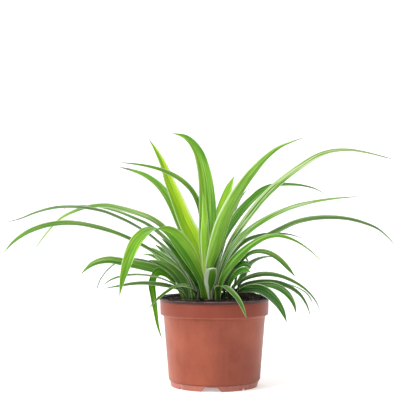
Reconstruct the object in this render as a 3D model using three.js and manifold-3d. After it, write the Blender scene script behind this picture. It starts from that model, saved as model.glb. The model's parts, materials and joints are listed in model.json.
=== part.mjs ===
// A potted spider plant: about fifty grassy leaves in four rosettes, grown from short rootstocks
// that stand in the soil of a thin 12 cm plastic nursery pot.
// Millimetres, +Z up. The origin is on the floor, on the axis of the pot. The front is -Y.

import * as THREE from 'three';
import { mergeVertices } from 'three/addons/utils/BufferGeometryUtils.js';
import Module from 'manifold-3d';

const wasm = await Module();
wasm.setup();

// Clearance kept between pieces that touch on the real plant.
const GAP = 0.3;

// Pot: a thermoformed shell with a rolled lip, a collar, a tapering wall and a notched foot ring.
const POT = {
  sides: 64,
  wall: 1.0,
  height: 92,
  lipRadius: 60,
  lipThickness: 1.8,
  collarTopRadius: 56.8,
  collarBottomRadius: 56.4,
  collarBottom: 74.5,
  wallTopRadius: 53,
  wallTop: 72.5,
  wallBottomRadius: 47.7,
  grooveHeight: 6.2,
  grooveRadius: 46.6,
  footTopRadius: 46.3,
  footBottomRadius: 45.5,
  footHeight: 5.6,
  footThickness: 1.5,
  plateBottom: 4.6,
  plateThickness: 1.2,
  round: 0.8,
  shelfRise: 0.8,
};

// The foot ring lets water out through four wide arches and four narrow ones between them.
const ARCH = { count: 4, turn: -94.6, wide: 22.5, narrow: 12.5, height: 4.2 };
const SLIT = { count: 4, turn: -49.6, wide: 4.5, narrow: 3.5, height: 2 };
const DRAIN = { count: 8, ringRadius: 34, radius: 3.6, length: 4, sides: 12 };

const SOIL = { rings: 7, sides: 36, edgeHeight: 89.2, crownHeight: 90.2, lump: 0.7, bottomRadius: 46 };

// Rootstocks: a stout crown whose flat top shows at the soil, and a few fleshy roots below it.
const CROWN_TOP = 90.6;
const CROWN = { depth: 13, shoulder: 3, waist: 0.72, heel: 0.43, sides: 20, holeReach: 6 };
const ROOT = { count: 5, length: 24, sunk: 4, thick: 2.3, thin: 1.1, ring: 0.42, lean: 9, sides: 8 };
const CROWNS = {
  main: { x: -3, y: -5, radius: 10.5 },
  left: { x: -24.5, y: -9, radius: 9.5 },
  rear: { x: -8, y: 19, radius: 10.5 },
  right: { x: 17, y: 7, radius: 9.5 },
};

// Leaf blades: a channelled base that opens out, is widest below the middle and tapers to the tip.
const BLADE = {
  midThickness: 0.9,
  edgeThickness: 0.62,
  baseWidth: 0.42,
  opensBy: 0.34,
  taperPower: 1.6,
  tipPower: 0.9,
  riseLag: 1.25,
  baseFold: 50,
  openFold: 20,
  segment: 17,
  fewest: 8,
  most: 15,
  firstRise: 4,
};

// The paths were taken by eye as seen from here, so a nearer or farther leaf keeps its outline.
const EYE = { x: -15, distance: 1200, z: 193 };

// How far a tip may be swung to or from the viewer, in the order tried, so that no leaf cuts another.
const SWING_STEP = 5;
const SWINGS = [0, 1, -1, 2, -2, 3, -3, 4, -4, 5, -5, 6, -6].map((n) => n * SWING_STEP);

const COLOURS = {
  pot: 0xb5664f,
  soil: 0x2b221c,
  crown: 0xb9a986,
  young: 0x9fbf4a,
  middle: 0x6f9a3c,
  old: 0x4d7a34,
};

// One row for each leaf. width is the blade at its widest. depth is the y of the tip. face turns the
// upper side towards the front at the base and at the tip, in degrees; a minus turns it away. seat is
// the [x, y] of its base on the crown. full is how long the blade keeps its width, above or below
// BLADE.taperPower.
// path holds [x, z], or [x, z, y] where the depth is set there, from above the soil to the tip.
const LEAVES = [
  // Main rosette.
  { name: 'leaf_main_tall', crown: 'main', seat: [-7, 0.6],
    width: 21, depth: 12, face: [85, 60], full: 3.2, age: 'middle',
    path: [[-6.9, 128.3], [-6.9, 163.8], [-7.5, 195.1], [-10.2, 219.1], [-14.8, 237.3], [-20.9, 249.9],
      [-29.6, 258.4], [-38.5, 263.3], [-44.7, 262.9]] },
  { name: 'leaf_main_young', crown: 'main', seat: [-7.8, -4.4],
    width: 13, depth: -24, face: [0, 0], full: 2.6, age: 'young',
    path: [[-8, 128], [-10, 156], [-10, 177], [-12, 201]] },
  { name: 'leaf_main_big_right', crown: 'main', seat: [-4, -8.6],
    width: 18, depth: -100, face: [-35, -5], full: 2.6, age: 'middle',
    path: [[-5, 120], [2, 146], [10, 172], [26, 203], [50, 233], [68, 248], [96, 259]] },
  { name: 'leaf_main_front_bend', crown: 'main', seat: [-10.5, -9],
    width: 20, depth: -112, face: [-74, 60], full: 3.3, age: 'young',
    path: [[-11.9, 103.3], [-16.6, 116.3], [-22.3, 128.3], [-29.1, 138.7], [-36.4, 149.7],
      [-44.7, 158.6], [-56.7, 163.8], [-68.7, 161.2], [-79.2, 152.3], [-87, 138.7], [-92.2, 124.1],
      [-96.4, 108.5], [-99.2, 91.8]] },
  { name: 'leaf_main_long_right', crown: 'main', seat: [-1, 2.8],
    width: 12, depth: 100, face: [20, 30], full: 4, age: 'middle',
    path: [[5, 114.5], [14, 141.2], [32, 170], [56, 199.8], [86, 224.8], [115, 241.8], [142, 244.9],
      [168, 240.2], [190, 234.4]] },
  { name: 'leaf_main_right_thin', crown: 'main', seat: [2.4, -3.2],
    width: 11, depth: 45, face: [35, 25], full: 3, age: 'old',
    path: [[6, 113.5], [16, 138.2], [35, 159.8], [58, 174.9], [84, 186], [119, 193.5], [154, 197]] },
  { name: 'leaf_main_low_right_arch', crown: 'main', seat: [4.4, 1.6],
    width: 9, depth: 95, face: [18, 48], full: 5, age: 'old',
    path: [[7, 107.5], [23, 130.1], [42, 146.6], [64, 159.7], [89, 170.8], [119, 174.7], [147, 171.5],
      [173, 161.2], [192, 142]] },
  { name: 'leaf_main_broad_right', crown: 'main', seat: [4.6, -8],
    width: 17, depth: -22, face: [70, -2], full: 1.2, age: 'middle',
    path: [[7.4, 106.4], [14.2, 120], [23.6, 132], [35.1, 142.6], [47.6, 150.9], [60.1, 155.1],
      [73.7, 154.2], [89.3, 147.6], [104, 136.7], [121.7, 119.4]] },
  { name: 'leaf_main_left_dark', crown: 'main', seat: [-11.8, -3.2],
    width: 12, depth: -18, face: [60, 50], full: 2.5, age: 'old',
    path: [[-14, 99.1], [-19.2, 109.5], [-26, 120], [-33.8, 129.9], [-41.1, 138.7], [-48.4, 146.6],
      [-56.7, 153.9]] },
  { name: 'leaf_main_front_short', crown: 'main', seat: [-4.5, -13.6],
    width: 15, depth: -70, face: [0, 0], full: 3, age: 'old',
    path: [[-5, 99, -17], [-4, 111, -24], [-3, 119, -38], [-2, 121, -54], [-1, 122.5, -68]] },
  { name: 'leaf_main_front_small', crown: 'main', seat: [2.2, -12.4],
    width: 9, depth: -74, face: [0, 0], full: 3.5, age: 'young',
    path: [[3, 99, -22], [5, 103, -34], [12, 102, -48], [19, 96, -60], [27, 86, -69], [34, 68, -74]] },
  // Left rosette.
  { name: 'leaf_left_long_arch', crown: 'left', seat: [-24, -11],
    width: 12, depth: -76, face: [14, 34], full: 7, age: 'middle',
    path: [[-31, 113.5], [-50, 129.9], [-70, 142.4], [-93, 154.3], [-119, 163.2], [-149, 168.5],
      [-177, 165.8], [-203, 154.4], [-221, 137]] },
  { name: 'leaf_left_long_level', crown: 'left', seat: [-19.5, -11],
    width: 9, depth: -70, face: [18, 30], full: 4, age: 'old',
    path: [[-34, 121.5], [-52, 143.2], [-74, 160.9], [-96, 172.8], [-119, 181.8], [-140, 185],
      [-163, 185.3], [-187, 179.6], [-210, 170.8], [-221, 169]] },
  { name: 'leaf_left_dark_upper', crown: 'left', seat: [-17.5, -7],
    width: 13, depth: 14, face: [60, 60], full: 4, age: 'old',
    path: [[-22.3, 100.1], [-31.2, 110.6], [-39.5, 119.4], [-48.4, 128.3], [-56.7, 135.1],
      [-65.1, 140.8], [-74, 144.5]] },
  { name: 'leaf_left_dark_middle', crown: 'left', seat: [-28.3, -9.4],
    width: 14, depth: -14, face: [70, 60], full: 3, age: 'old',
    path: [[-29.6, 99.1], [-35.9, 110], [-44.2, 119.1], [-52.6, 124.7], [-60.9, 128.1], [-68.7, 130.4]] },
  { name: 'leaf_left_dark_lower', crown: 'left', seat: [-26, -3],
    width: 9, depth: 18, face: [50, 40], full: 3, age: 'old',
    path: [[-27.5, 101.2], [-36.9, 114.7], [-46.3, 123.6], [-56.7, 130.9], [-67.2, 135.6],
      [-76.6, 136.1]] },
  { name: 'leaf_left_broad_flat', crown: 'left', seat: [-31.5, -6.6],
    width: 12, depth: -46, face: [50, 62], full: 4.5, age: 'middle',
    path: [[-36, 104], [-46.8, 113.7], [-58.8, 119.4], [-71.3, 123.3], [-84.9, 125.7], [-97.4, 128.3],
      [-110, 130.2], [-122.5, 128.3], [-131.9, 123.1], [-140, 114.9]] },
  { name: 'leaf_left_thin_drop', crown: 'left', seat: [-29.5, -3.2],
    width: 7, depth: 74, face: [15, 35], full: 4, age: 'old',
    path: [[-38, 113], [-57, 123], [-78, 129], [-94, 130], [-106, 125], [-114, 117], [-119, 110],
      [-124, 95]] },
  { name: 'leaf_left_thin_upper', crown: 'left', seat: [-29.8, -14.8],
    width: 8, depth: -106, face: [15, 15], full: 3, age: 'middle',
    path: [[-38, 103], [-52, 110], [-67, 114], [-81, 115], [-93, 114], [-105, 111], [-118, 103]] },
  { name: 'leaf_left_thin_lower', crown: 'left', seat: [-27, -16.5],
    width: 11, depth: -126, face: [40, 20], full: 1.6, age: 'middle',
    path: [[-36, 99], [-48, 103], [-62, 105], [-78, 106], [-94, 104], [-107, 102], [-118, 100]] },
  { name: 'leaf_left_hanging', crown: 'left', seat: [-31.5, -12],
    width: 11, depth: -36, face: [48, 78], full: 2.5, age: 'middle',
    path: [[-39, 102.2, -14], [-47.3, 111.6, -19], [-56.7, 117.4, -26], [-63, 117.2, -31],
      [-65.3, 108.5, -34], [-64.7, 97, -36], [-62.7, 83.4, -38], [-60.3, 67.8, -39], [-57.8, 56.3, -40],
      [-53.6, 44.8, -41]] },
  { name: 'leaf_left_front_small', crown: 'left', seat: [-22.5, -16.5],
    width: 5.5, depth: -76, face: [20, 20], full: 3, age: 'young',
    path: [[-25, 103, -22], [-34, 104, -30], [-42, 102, -38], [-50, 97, -45], [-60, 89, -51],
      [-70, 78, -56]] },
  { name: 'leaf_left_inner_back', crown: 'left', seat: [-23, 0],
    width: 10, depth: 70, face: [60, 50], full: 3, age: 'old',
    path: [[-29.6, 101.2], [-32.7, 111.6], [-38, 122], [-45.3, 131.4], [-53.6, 140.3], [-63, 147.1]] },
  { name: 'leaf_left_inner_front', crown: 'left', seat: [-19, -14.5],
    width: 8, depth: -74, face: [20, 20], full: 2.5, age: 'old',
    path: [[-21, 97.5, -30], [-26, 101.5, -46], [-33, 103.3, -60], [-40, 103, -72]] },
  { name: 'leaf_left_inner_upper', crown: 'left', seat: [-20, -2.6],
    width: 9, depth: 20, face: [60, 50], full: 3, age: 'old',
    path: [[-19.2, 99.1], [-24.9, 110], [-31.7, 120.5], [-39.5, 130.9], [-47.9, 139.8], [-56.2, 147.6],
      [-65.1, 154.4]] },
  { name: 'leaf_left_base_back', crown: 'left', seat: [-20, 3],
    width: 15, depth: 34, face: [80, 70], full: 2.5, age: 'old',
    path: [[-22.5, 98.5], [-26.5, 106.2], [-32.2, 113.5], [-38, 119.5]] },
  // Rear rosette.
  { name: 'leaf_rear_broad_yellow', crown: 'rear', seat: [-11, 15],
    width: 21, depth: 30, face: [82, 55], full: 2.2, age: 'young',
    path: [[-9.8, 122], [-18.7, 148.1], [-30.7, 172.1], [-38.7, 193], [-47.6, 213.9], [-55.7, 235.3],
      [-69.3, 258]] },
  { name: 'leaf_rear_upper_left', crown: 'rear', seat: [-7.5, 10.7],
    width: 12, depth: -18, face: [68, 43], full: 2.6, age: 'middle',
    path: [[-11.9, 128.3], [-11.9, 159.6], [-15.5, 184.7], [-23.3, 201.9], [-35.9, 214.4],
      [-52.6, 223.1], [-75.5, 229.3], [-101.5, 232.4]] },
  { name: 'leaf_rear_upper_left_back', crown: 'rear', seat: [-12, 20],
    width: 13, depth: 48, face: [72, 55], full: 3, age: 'old',
    path: [[-15, 128.3], [-24.4, 146], [-34.3, 166.9], [-43.2, 186.7], [-54.7, 204.5], [-68.2, 216.4],
      [-83.9, 223.3], [-101.5, 227.9]] },
  { name: 'leaf_rear_short_blunt', crown: 'rear', seat: [-7.2, 22],
    width: 13, depth: 92, face: [10, 0], full: 9, age: 'old',
    path: [[0.7, 128.3], [3.8, 156.5], [7.4, 182.6], [12.4, 197.2], [16.8, 209.7], [20.8, 218.6]] },
  { name: 'leaf_rear_grey_tip', crown: 'rear', seat: [-2.2, 21.6],
    width: 7, depth: 120, face: [0, 0], full: 2, age: 'old',
    path: [[4, 128], [10, 150], [17, 170], [23, 186], [28, 196], [34, 203], [43.4, 207.3]] },
  { name: 'leaf_rear_dark_right', crown: 'rear', seat: [-4.5, 16],
    width: 14, depth: 78, face: [30, 25], full: 3, age: 'old',
    path: [[0, 122], [8, 151], [23, 175], [39, 193], [56, 206], [74, 209], [91, 208], [107, 204],
      [120, 195]] },
  { name: 'leaf_rear_right_level', crown: 'rear', seat: [-0.5, 14],
    width: 9, depth: 52, face: [30, 25], full: 3, age: 'old',
    path: [[4.8, 113.7], [12.1, 128.3], [21.5, 140.8], [32, 149.7], [43.4, 154.6], [56, 157.2],
      [69.5, 157.9], [82, 156.2], [95.5, 151.6]] },
  { name: 'leaf_rear_left_arch', crown: 'rear', seat: [-16.3, 15],
    width: 11, depth: 26, face: [30, 38], full: 3, age: 'middle',
    path: [[-16, 109.5], [-30, 131.1], [-44, 153.1], [-59.9, 169.6], [-80, 178.7], [-101, 184.6],
      [-119, 187.2], [-140, 183.1], [-161.1, 173], [-177.8, 154.7], [-191.9, 135]] },
  { name: 'leaf_rear_left_top_arch', crown: 'rear', seat: [-16.6, 19.5],
    width: 8, depth: 78, face: [20, 22], full: 3, age: 'old',
    path: [[-18.1, 104.8], [-32.9, 127.2], [-48, 148.9], [-66.1, 164.8], [-87, 175.3], [-108, 182.8],
      [-128, 186.8], [-146, 186.5], [-159, 183.6], [-165.1, 178]] },
  { name: 'leaf_rear_back_left', crown: 'rear', seat: [-11, 26.3],
    width: 13, depth: 118, face: [0, 0], age: 'middle',
    path: [[-14, 115], [-22, 136], [-33, 145], [-42, 140], [-50, 127]] },
  { name: 'leaf_rear_back_far_left', crown: 'rear', seat: [-15.5, 23],
    width: 14, depth: 92, face: [60, 55], full: 2.5, age: 'old',
    path: [[-20, 106], [-30, 119], [-41, 126], [-52, 127]] },
  { name: 'leaf_rear_back_middle', crown: 'rear', seat: [-5.8, 27.5],
    width: 14, depth: 130, face: [0, 0], age: 'middle',
    path: [[-5, 120], [-4, 143], [-3, 151], [-2, 146], [-1, 135]] },
  { name: 'leaf_rear_back_right', crown: 'rear', seat: [-1.3, 26],
    width: 12, depth: 122, face: [0, 0], age: 'old',
    path: [[5, 114], [14, 130], [24, 138], [32, 134], [38, 121]] },
  { name: 'leaf_rear_back_low', crown: 'rear', seat: [1.3, 19.8],
    width: 16, depth: 84, face: [72, 60], full: 2.5, age: 'old',
    path: [[8, 104], [14.5, 113.5], [23, 119.5], [32, 119.5]] },
  // Right rosette.
  { name: 'leaf_right_upper', crown: 'right', seat: [19, 9.5],
    width: 9, depth: 4, face: [-5, 68], full: 6, age: 'middle',
    path: [[23, 112], [26.7, 124.1], [32, 133.5], [39.3, 137.9], [47.6, 139.4], [56, 137.7],
      [64.3, 133.5], [73.7, 125.4], [85.2, 111.8]] },
  { name: 'leaf_right_thin', crown: 'right', seat: [14.5, 14],
    width: 8, depth: 96, face: [30, 20], full: 2.5, age: 'old',
    path: [[28, 110], [33, 120], [39, 128], [48, 132], [58, 134], [68, 131]] },
  { name: 'leaf_right_inner_dark', crown: 'right', seat: [18.5, 4.5],
    width: 17, depth: -20, face: [58, 48], full: 3, age: 'old',
    path: [[12.1, 104], [15.5, 114.5], [21, 121.6], [28, 125.4], [34.5, 125.8], [39, 121.5]] },
  { name: 'leaf_right_inner_pale', crown: 'right', seat: [15.5, -1],
    width: 14, depth: -78, face: [75, 60], full: 3, age: 'middle',
    path: [[14.6, 101], [18.6, 109.5], [22.8, 114.9], [28, 118.6], [33.5, 119.8], [38, 117.5]] },
  { name: 'leaf_right_long_droop', crown: 'right', seat: [25.2, 9],
    width: 11, depth: -12, face: [45, 25], full: 1.3, age: 'middle',
    path: [[26.7, 105.9], [35.1, 111.1], [43.4, 114.4], [52.8, 115.5], [66.4, 113.9], [78.9, 109.5],
      [91.4, 102.4], [101.9, 92.8], [108.1, 83.1], [112, 72.5]] },
  { name: 'leaf_right_back_droop', crown: 'right', seat: [22.3, 13.2],
    width: 11, depth: 26, face: [30, 40], full: 3, age: 'old',
    path: [[29.9, 103.3], [39.3, 105.6], [50.7, 106.6], [63.3, 106.4], [75.8, 102.9], [86.2, 96.8],
      [93.5, 88.7], [98.2, 78.7], [100.8, 70.4]] },
  { name: 'leaf_right_front_droop', crown: 'right', seat: [24.9, 4.4],
    width: 11, depth: -50, face: [20, 45], full: 3, age: 'middle',
    path: [[29.9, 101.2], [39.3, 102.7], [50.7, 104], [61.2, 103.3], [70.6, 99.3], [77.9, 92.8],
      [83.1, 84], [85.7, 73]] },
  { name: 'leaf_right_far_droop', crown: 'right', seat: [18, 14],
    width: 8, depth: 68, face: [18, 8], full: 2, age: 'old',
    path: [[26.7, 101.2], [39.3, 105.9], [52.8, 108], [68.5, 106.9], [83.1, 102.9], [95.6, 96.5],
      [104, 81.9]] },
  { name: 'leaf_right_low_droop', crown: 'right', seat: [19.6, -0.9],
    width: 13, depth: -96, face: [62, 14], full: 3, age: 'middle',
    path: [[26.7, 97.5], [37.2, 100.2], [47.6, 99.4], [56, 95], [64.3, 87], [70.6, 77.4], [75.8, 64.6]] },
  { name: 'leaf_right_base_dark', crown: 'right', seat: [10.2, 4.5],
    width: 10, depth: 30, face: [60, 40], full: 3, age: 'old',
    path: [[9, 104], [9, 116], [12, 128], [18, 138]] },
];

const radians = THREE.MathUtils.degToRad;
const smooth = THREE.MathUtils.smoothstep;
const mix = THREE.MathUtils.lerp;

// Gives a closed geometry with shared vertices and its faces pointing out.
function closed(geometry) {
  geometry.deleteAttribute('normal');
  geometry.deleteAttribute('uv');
  const merged = mergeVertices(geometry, 1e-4);
  const index = merged.index.array;
  const at = (i) => new THREE.Vector3().fromBufferAttribute(merged.attributes.position, i);
  const kept = [];
  let volume = 0;
  for (let i = 0; i < index.length; i += 3) {
    const [a, b, c] = [index[i], index[i + 1], index[i + 2]];
    if (a === b || b === c || c === a) continue;
    kept.push(a, b, c);
    volume += at(a).dot(at(b).cross(at(c)));
  }
  if (volume < 0) kept.reverse();
  merged.setIndex(kept);
  return merged;
}

function toSolid(geometry) {
  const merged = closed(geometry);
  return new wasm.Manifold(new wasm.Mesh({
    numProp: 3,
    vertProperties: new Float32Array(merged.attributes.position.array),
    triVerts: new Uint32Array(merged.index.array),
  }));
}

function toGeometry(solid) {
  const mesh = solid.getMesh();
  const geometry = new THREE.BufferGeometry();
  geometry.setAttribute('position', new THREE.BufferAttribute(mesh.vertProperties, 3));
  geometry.setIndex(Array.from(mesh.triVerts));
  return geometry;
}

// Turns a profile of [radius, z] points round the vertical axis.
function turned(profile, sides) {
  const points = profile.map(([r, z]) => new THREE.Vector2(r, z));
  return new THREE.LatheGeometry(points, sides).rotateX(Math.PI / 2);
}

function makeMesh(name, geometry, colour, roughness) {
  const material = new THREE.MeshStandardMaterial({ color: colour, roughness, metalness: 0 });
  const mesh = new THREE.Mesh(geometry, material);
  mesh.name = name;
  return mesh;
}

// The pot's inner radius at a height, from the plate to the lip.
function potInside(z) {
  const p = POT;
  if (z < p.wallTop) {
    const up = (z - p.grooveHeight) / (p.wallTop - p.grooveHeight);
    return mix(p.wallBottomRadius, p.wallTopRadius, up) - p.wall;
  }
  const up = (z - p.collarBottom) / (p.height - p.collarBottom);
  return mix(p.collarBottomRadius, p.collarTopRadius, Math.max(up, 0)) - p.wall;
}

function potShell() {
  const p = POT;
  const plateTop = p.plateBottom + p.plateThickness;
  const underLip = p.height - p.lipThickness;
  const shelf = p.collarBottom + p.shelfRise;
  return turned([
    [0, p.plateBottom],
    [p.footTopRadius - p.footThickness, p.plateBottom],
    [p.footBottomRadius - p.footThickness, 0],
    [p.footBottomRadius, 0],
    [p.footTopRadius, p.footHeight],
    [p.grooveRadius, p.grooveHeight],
    [p.wallBottomRadius, p.grooveHeight + p.round],
    [p.wallTopRadius, p.wallTop],
    [p.collarBottomRadius, p.collarBottom],
    [p.collarTopRadius, underLip - p.round],
    [p.collarTopRadius + p.round, underLip],
    [p.lipRadius - p.round / 2, underLip + p.round / 2],
    [p.lipRadius, p.height - p.round],
    [p.lipRadius - p.round / 2, p.height],
    [p.lipRadius - p.round * 1.5, p.height],
    [potInside(p.height), underLip],
    [potInside(shelf), shelf],
    [p.wallTopRadius - p.wall, p.wallTop + p.round / 2],
    [potInside(plateTop + p.wall), plateTop + p.wall],
    [potInside(plateTop) - p.wall, plateTop],
    [0, plateTop],
  ], p.sides);
}

// A trapezoid bar that reaches out from the axis through the foot ring.
function footCut({ wide, narrow, height }, turn) {
  const below = 1;
  const inner = POT.footBottomRadius - 10;
  const outline = new THREE.Shape([
    new THREE.Vector2(-wide / 2, -below),
    new THREE.Vector2(wide / 2, -below),
    new THREE.Vector2(narrow / 2, height),
    new THREE.Vector2(-narrow / 2, height),
  ]);
  const bar = new THREE.ExtrudeGeometry(outline, { depth: 20, bevelEnabled: false });
  bar.rotateX(Math.PI / 2).rotateZ(Math.PI / 2).translate(inner, 0, 0);
  return toSolid(bar.rotateZ(radians(turn)));
}

function pot() {
  let solid = toSolid(potShell());
  for (const cut of [ARCH, SLIT]) {
    for (let i = 0; i < cut.count; i += 1) {
      solid = solid.subtract(footCut(cut, cut.turn + (360 / cut.count) * i));
    }
  }
  for (let i = 0; i < DRAIN.count; i += 1) {
    const angle = radians(ARCH.turn + (360 / DRAIN.count) * (i + 0.5));
    const hole = new THREE.CylinderGeometry(DRAIN.radius, DRAIN.radius, DRAIN.length, DRAIN.sides);
    hole.rotateX(Math.PI / 2).translate(DRAIN.ringRadius, 0, POT.plateBottom + POT.plateThickness / 2);
    hole.rotateZ(angle);
    solid = solid.subtract(toSolid(hole));
  }
  return makeMesh('pot', toGeometry(solid), COLOURS.pot, 0.42);
}

// One rootstock, grown on all sides by extra.
function rootstock({ x, y, radius }, extra) {
  const r = radius + extra;
  const top = CROWN_TOP + (extra > 0 ? CROWN.holeReach : 0);
  const bottom = CROWN_TOP - CROWN.depth - extra;
  const body = turned([
    [0, bottom],
    [r * CROWN.heel, bottom],
    [r * CROWN.waist, bottom + CROWN.depth / 2],
    [r, CROWN_TOP - CROWN.shoulder],
    [r, top],
    [0, top],
  ], CROWN.sides);
  let solid = toSolid(body);
  for (let i = 0; i < ROOT.count; i += 1) {
    const long = ROOT.length + extra;
    const root = new THREE.CylinderGeometry(ROOT.thick + extra, ROOT.thin + extra, long, ROOT.sides);
    root.translate(0, -long / 2, 0).rotateX(Math.PI / 2);
    root.rotateY(radians(-ROOT.lean)).translate(radius * ROOT.ring, 0, bottom + extra + ROOT.sunk);
    root.rotateZ((Math.PI * 2 * (i + 0.25)) / ROOT.count);
    solid = solid.add(toSolid(root));
  }
  return solid.translate([x, y, 0]);
}

// The soil's surface: a low mound with a lumpy top, flat towards the wall.
function soilTop(x, y) {
  const out = Math.min(Math.hypot(x, y) / potInside(SOIL.edgeHeight), 1);
  const lumps = Math.sin(x * 0.61 + 1.3) * Math.cos(y * 0.53) + Math.sin(x * 0.23 - y * 0.37 + 2.1);
  return mix(SOIL.crownHeight, SOIL.edgeHeight, out ** 2) + (SOIL.lump / 2) * lumps * (1 - out ** 4);
}

function soil() {
  const floor = POT.plateBottom + POT.plateThickness + GAP;
  const rim = potInside(SOIL.edgeHeight) - GAP;
  const shelf = POT.collarBottom + POT.shelfRise + GAP * 2;
  const profile = [
    [0, floor],
    [SOIL.bottomRadius - POT.wall, floor],
    [SOIL.bottomRadius, floor + POT.wall * 1.5],
    [POT.wallTopRadius - POT.wall - GAP, POT.wallTop + POT.round / 2],
    [potInside(shelf) - GAP * 1.5, shelf + POT.round],
  ];
  for (let i = 0; i <= SOIL.rings; i += 1) {
    profile.push([rim * (1 - i / SOIL.rings), SOIL.edgeHeight]);
  }
  const body = turned(profile, SOIL.sides);
  const place = body.attributes.position;
  for (let i = 0; i < place.count; i += 1) {
    if (place.getZ(i) > SOIL.edgeHeight - 0.01) place.setZ(i, soilTop(place.getX(i), place.getY(i)));
  }
  let solid = toSolid(body);
  for (const crown of Object.values(CROWNS)) solid = solid.subtract(rootstock(crown, GAP));
  return solid;
}

// The widest the blade is at a share s of its length, as a share of its full width.
function widthAt(s, full) {
  return mix(BLADE.baseWidth, 1, smooth(s, 0, BLADE.opensBy)) * (1 - s ** full) ** BLADE.tipPower;
}

// Half the angle that the two sides of the blade are folded up by.
function foldAt(s) {
  return radians(mix(BLADE.baseFold, BLADE.openFold, smooth(s, 0, BLADE.opensBy)));
}

// Moves a point that was taken at the pot's axis along the line of sight to the depth y.
function alongSight([x, z], y) {
  const scale = (EYE.distance + y) / EYE.distance;
  return new THREE.Vector3(EYE.x + (x - EYE.x) * scale, y, EYE.z + (z - EYE.z) * scale);
}

// The midrib from the top of the crown to the tip. A leaf that runs across the view goes straight in
// plan; one that comes forward or goes back does so faster as it rises.
function midrib(leaf, base, swing) {
  const tip = leaf.depth + swing;
  const marks = [[base.x, base.z], ...leaf.path];
  const runs = [0];
  const sides = [0];
  for (let i = 1; i < marks.length; i += 1) {
    const [dx, dz] = [marks[i][0] - marks[i - 1][0], marks[i][1] - marks[i - 1][1]];
    runs.push(runs[i - 1] + Math.hypot(dx, dz));
    sides.push(sides[i - 1] + Math.abs(dx));
  }
  const across = sides.at(-1) / (sides.at(-1) + Math.abs(tip - base.y));
  const points = [base.clone(), base.clone().add(new THREE.Vector3(0, 0, BLADE.firstRise))];
  leaf.path.forEach((mark, i) => {
    const rise = (runs[i + 1] / runs.at(-1)) ** BLADE.riseLag;
    const go = mix(rise, sides[i + 1] / sides.at(-1), across);
    const y = mark.length > 2 ? mark[2] + swing * go : mix(base.y, tip, go);
    points.push(alongSight(mark, y));
  });
  return new THREE.CatmullRomCurve3(points, false, 'centripetal');
}

// The closed blade: six vertices a ring, split alike on both faces, and one vertex at the tip.
function blade(leaf, base, swing, extra) {
  const curve = midrib(leaf, base, swing);
  curve.arcLengthDivisions = BLADE.most * 25;
  const length = curve.getLength();
  const count = Math.min(Math.max(Math.round(length / BLADE.segment), BLADE.fewest), BLADE.most);
  const tip = curve.getPointAt(1);
  const heading = new THREE.Vector3(tip.x - base.x, tip.y - base.y, 0).normalize();
  const level = new THREE.Vector3(0, 0, 1).cross(heading);
  const hand = Math.sign(heading.x) || 1;
  const vertices = [];
  for (let i = 0; i < count; i += 1) {
    const s = i / count;
    const centre = curve.getPointAt(s);
    const along = i === 0 ? new THREE.Vector3(0, 0, 1) : curve.getTangentAt(s);
    const wide = level.clone().addScaledVector(along, -level.dot(along)).normalize();
    const up = along.clone().cross(wide);
    const roll = radians(mix(leaf.face[0], leaf.face[1], s)) * hand;
    wide.applyAxisAngle(along, roll);
    up.applyAxisAngle(along, roll);
    const half = (leaf.width / 2) * widthAt(s, leaf.full ?? BLADE.taperPower) + extra;
    const fold = foldAt(s);
    const thin = (BLADE.edgeThickness / 2 + extra) / Math.cos(fold);
    const thick = (BLADE.midThickness / 2 + extra) / Math.cos(fold);
    const sink = (Math.sin(fold) * half) / 2;
    const corner = (across, lift) => centre.clone().addScaledVector(wide, across).addScaledVector(up, lift);
    const reach = Math.cos(fold) * half;
    vertices.push(corner(-reach, sink + thin), corner(0, -sink + thick), corner(reach, sink + thin));
    vertices.push(corner(reach, sink - thin), corner(0, -sink - thick), corner(-reach, sink - thin));
  }
  vertices.push(tip.clone());
  const faces = [];
  const ring = 6;
  for (let i = 0; i < count - 1; i += 1) {
    const [a, b] = [i * ring, (i + 1) * ring];
    for (let j = 0; j < ring; j += 1) {
      const k = (j + 1) % ring;
      if (j < 3) faces.push(a + j, b + k, a + k, a + j, b + j, b + k);
      else faces.push(a + j, b + j, a + k, a + k, b + j, b + k);
    }
  }
  const last = (count - 1) * ring;
  const end = vertices.length - 1;
  for (let j = 0; j < ring; j += 1) faces.push(last + j, end, last + ((j + 1) % ring));
  faces.push(0, 1, 4, 0, 4, 5, 1, 3, 4, 1, 2, 3);
  const geometry = new THREE.BufferGeometry();
  geometry.setFromPoints(vertices);
  geometry.setIndex(faces);
  return geometry;
}

function boxOf(geometry) {
  geometry.computeBoundingBox();
  return geometry.boundingBox;
}

const plant = new THREE.Group();
const potMesh = pot();
plant.add(potMesh);
const soilSolid = soil();
plant.add(makeMesh('soil', toGeometry(soilSolid), COLOURS.soil, 0.95));
const placed = [
  { name: 'pot', solid: toSolid(potMesh.geometry.clone()) },
  { name: 'soil', solid: soilSolid },
];
for (const [key, crown] of Object.entries(CROWNS)) {
  const solid = rootstock(crown, 0);
  plant.add(makeMesh(`crown_${key}`, toGeometry(solid), COLOURS.crown, 0.8));
  placed.push({ name: `crown_${key}`, solid });
}
for (const item of placed) item.box = boxOf(toGeometry(item.solid));

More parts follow.
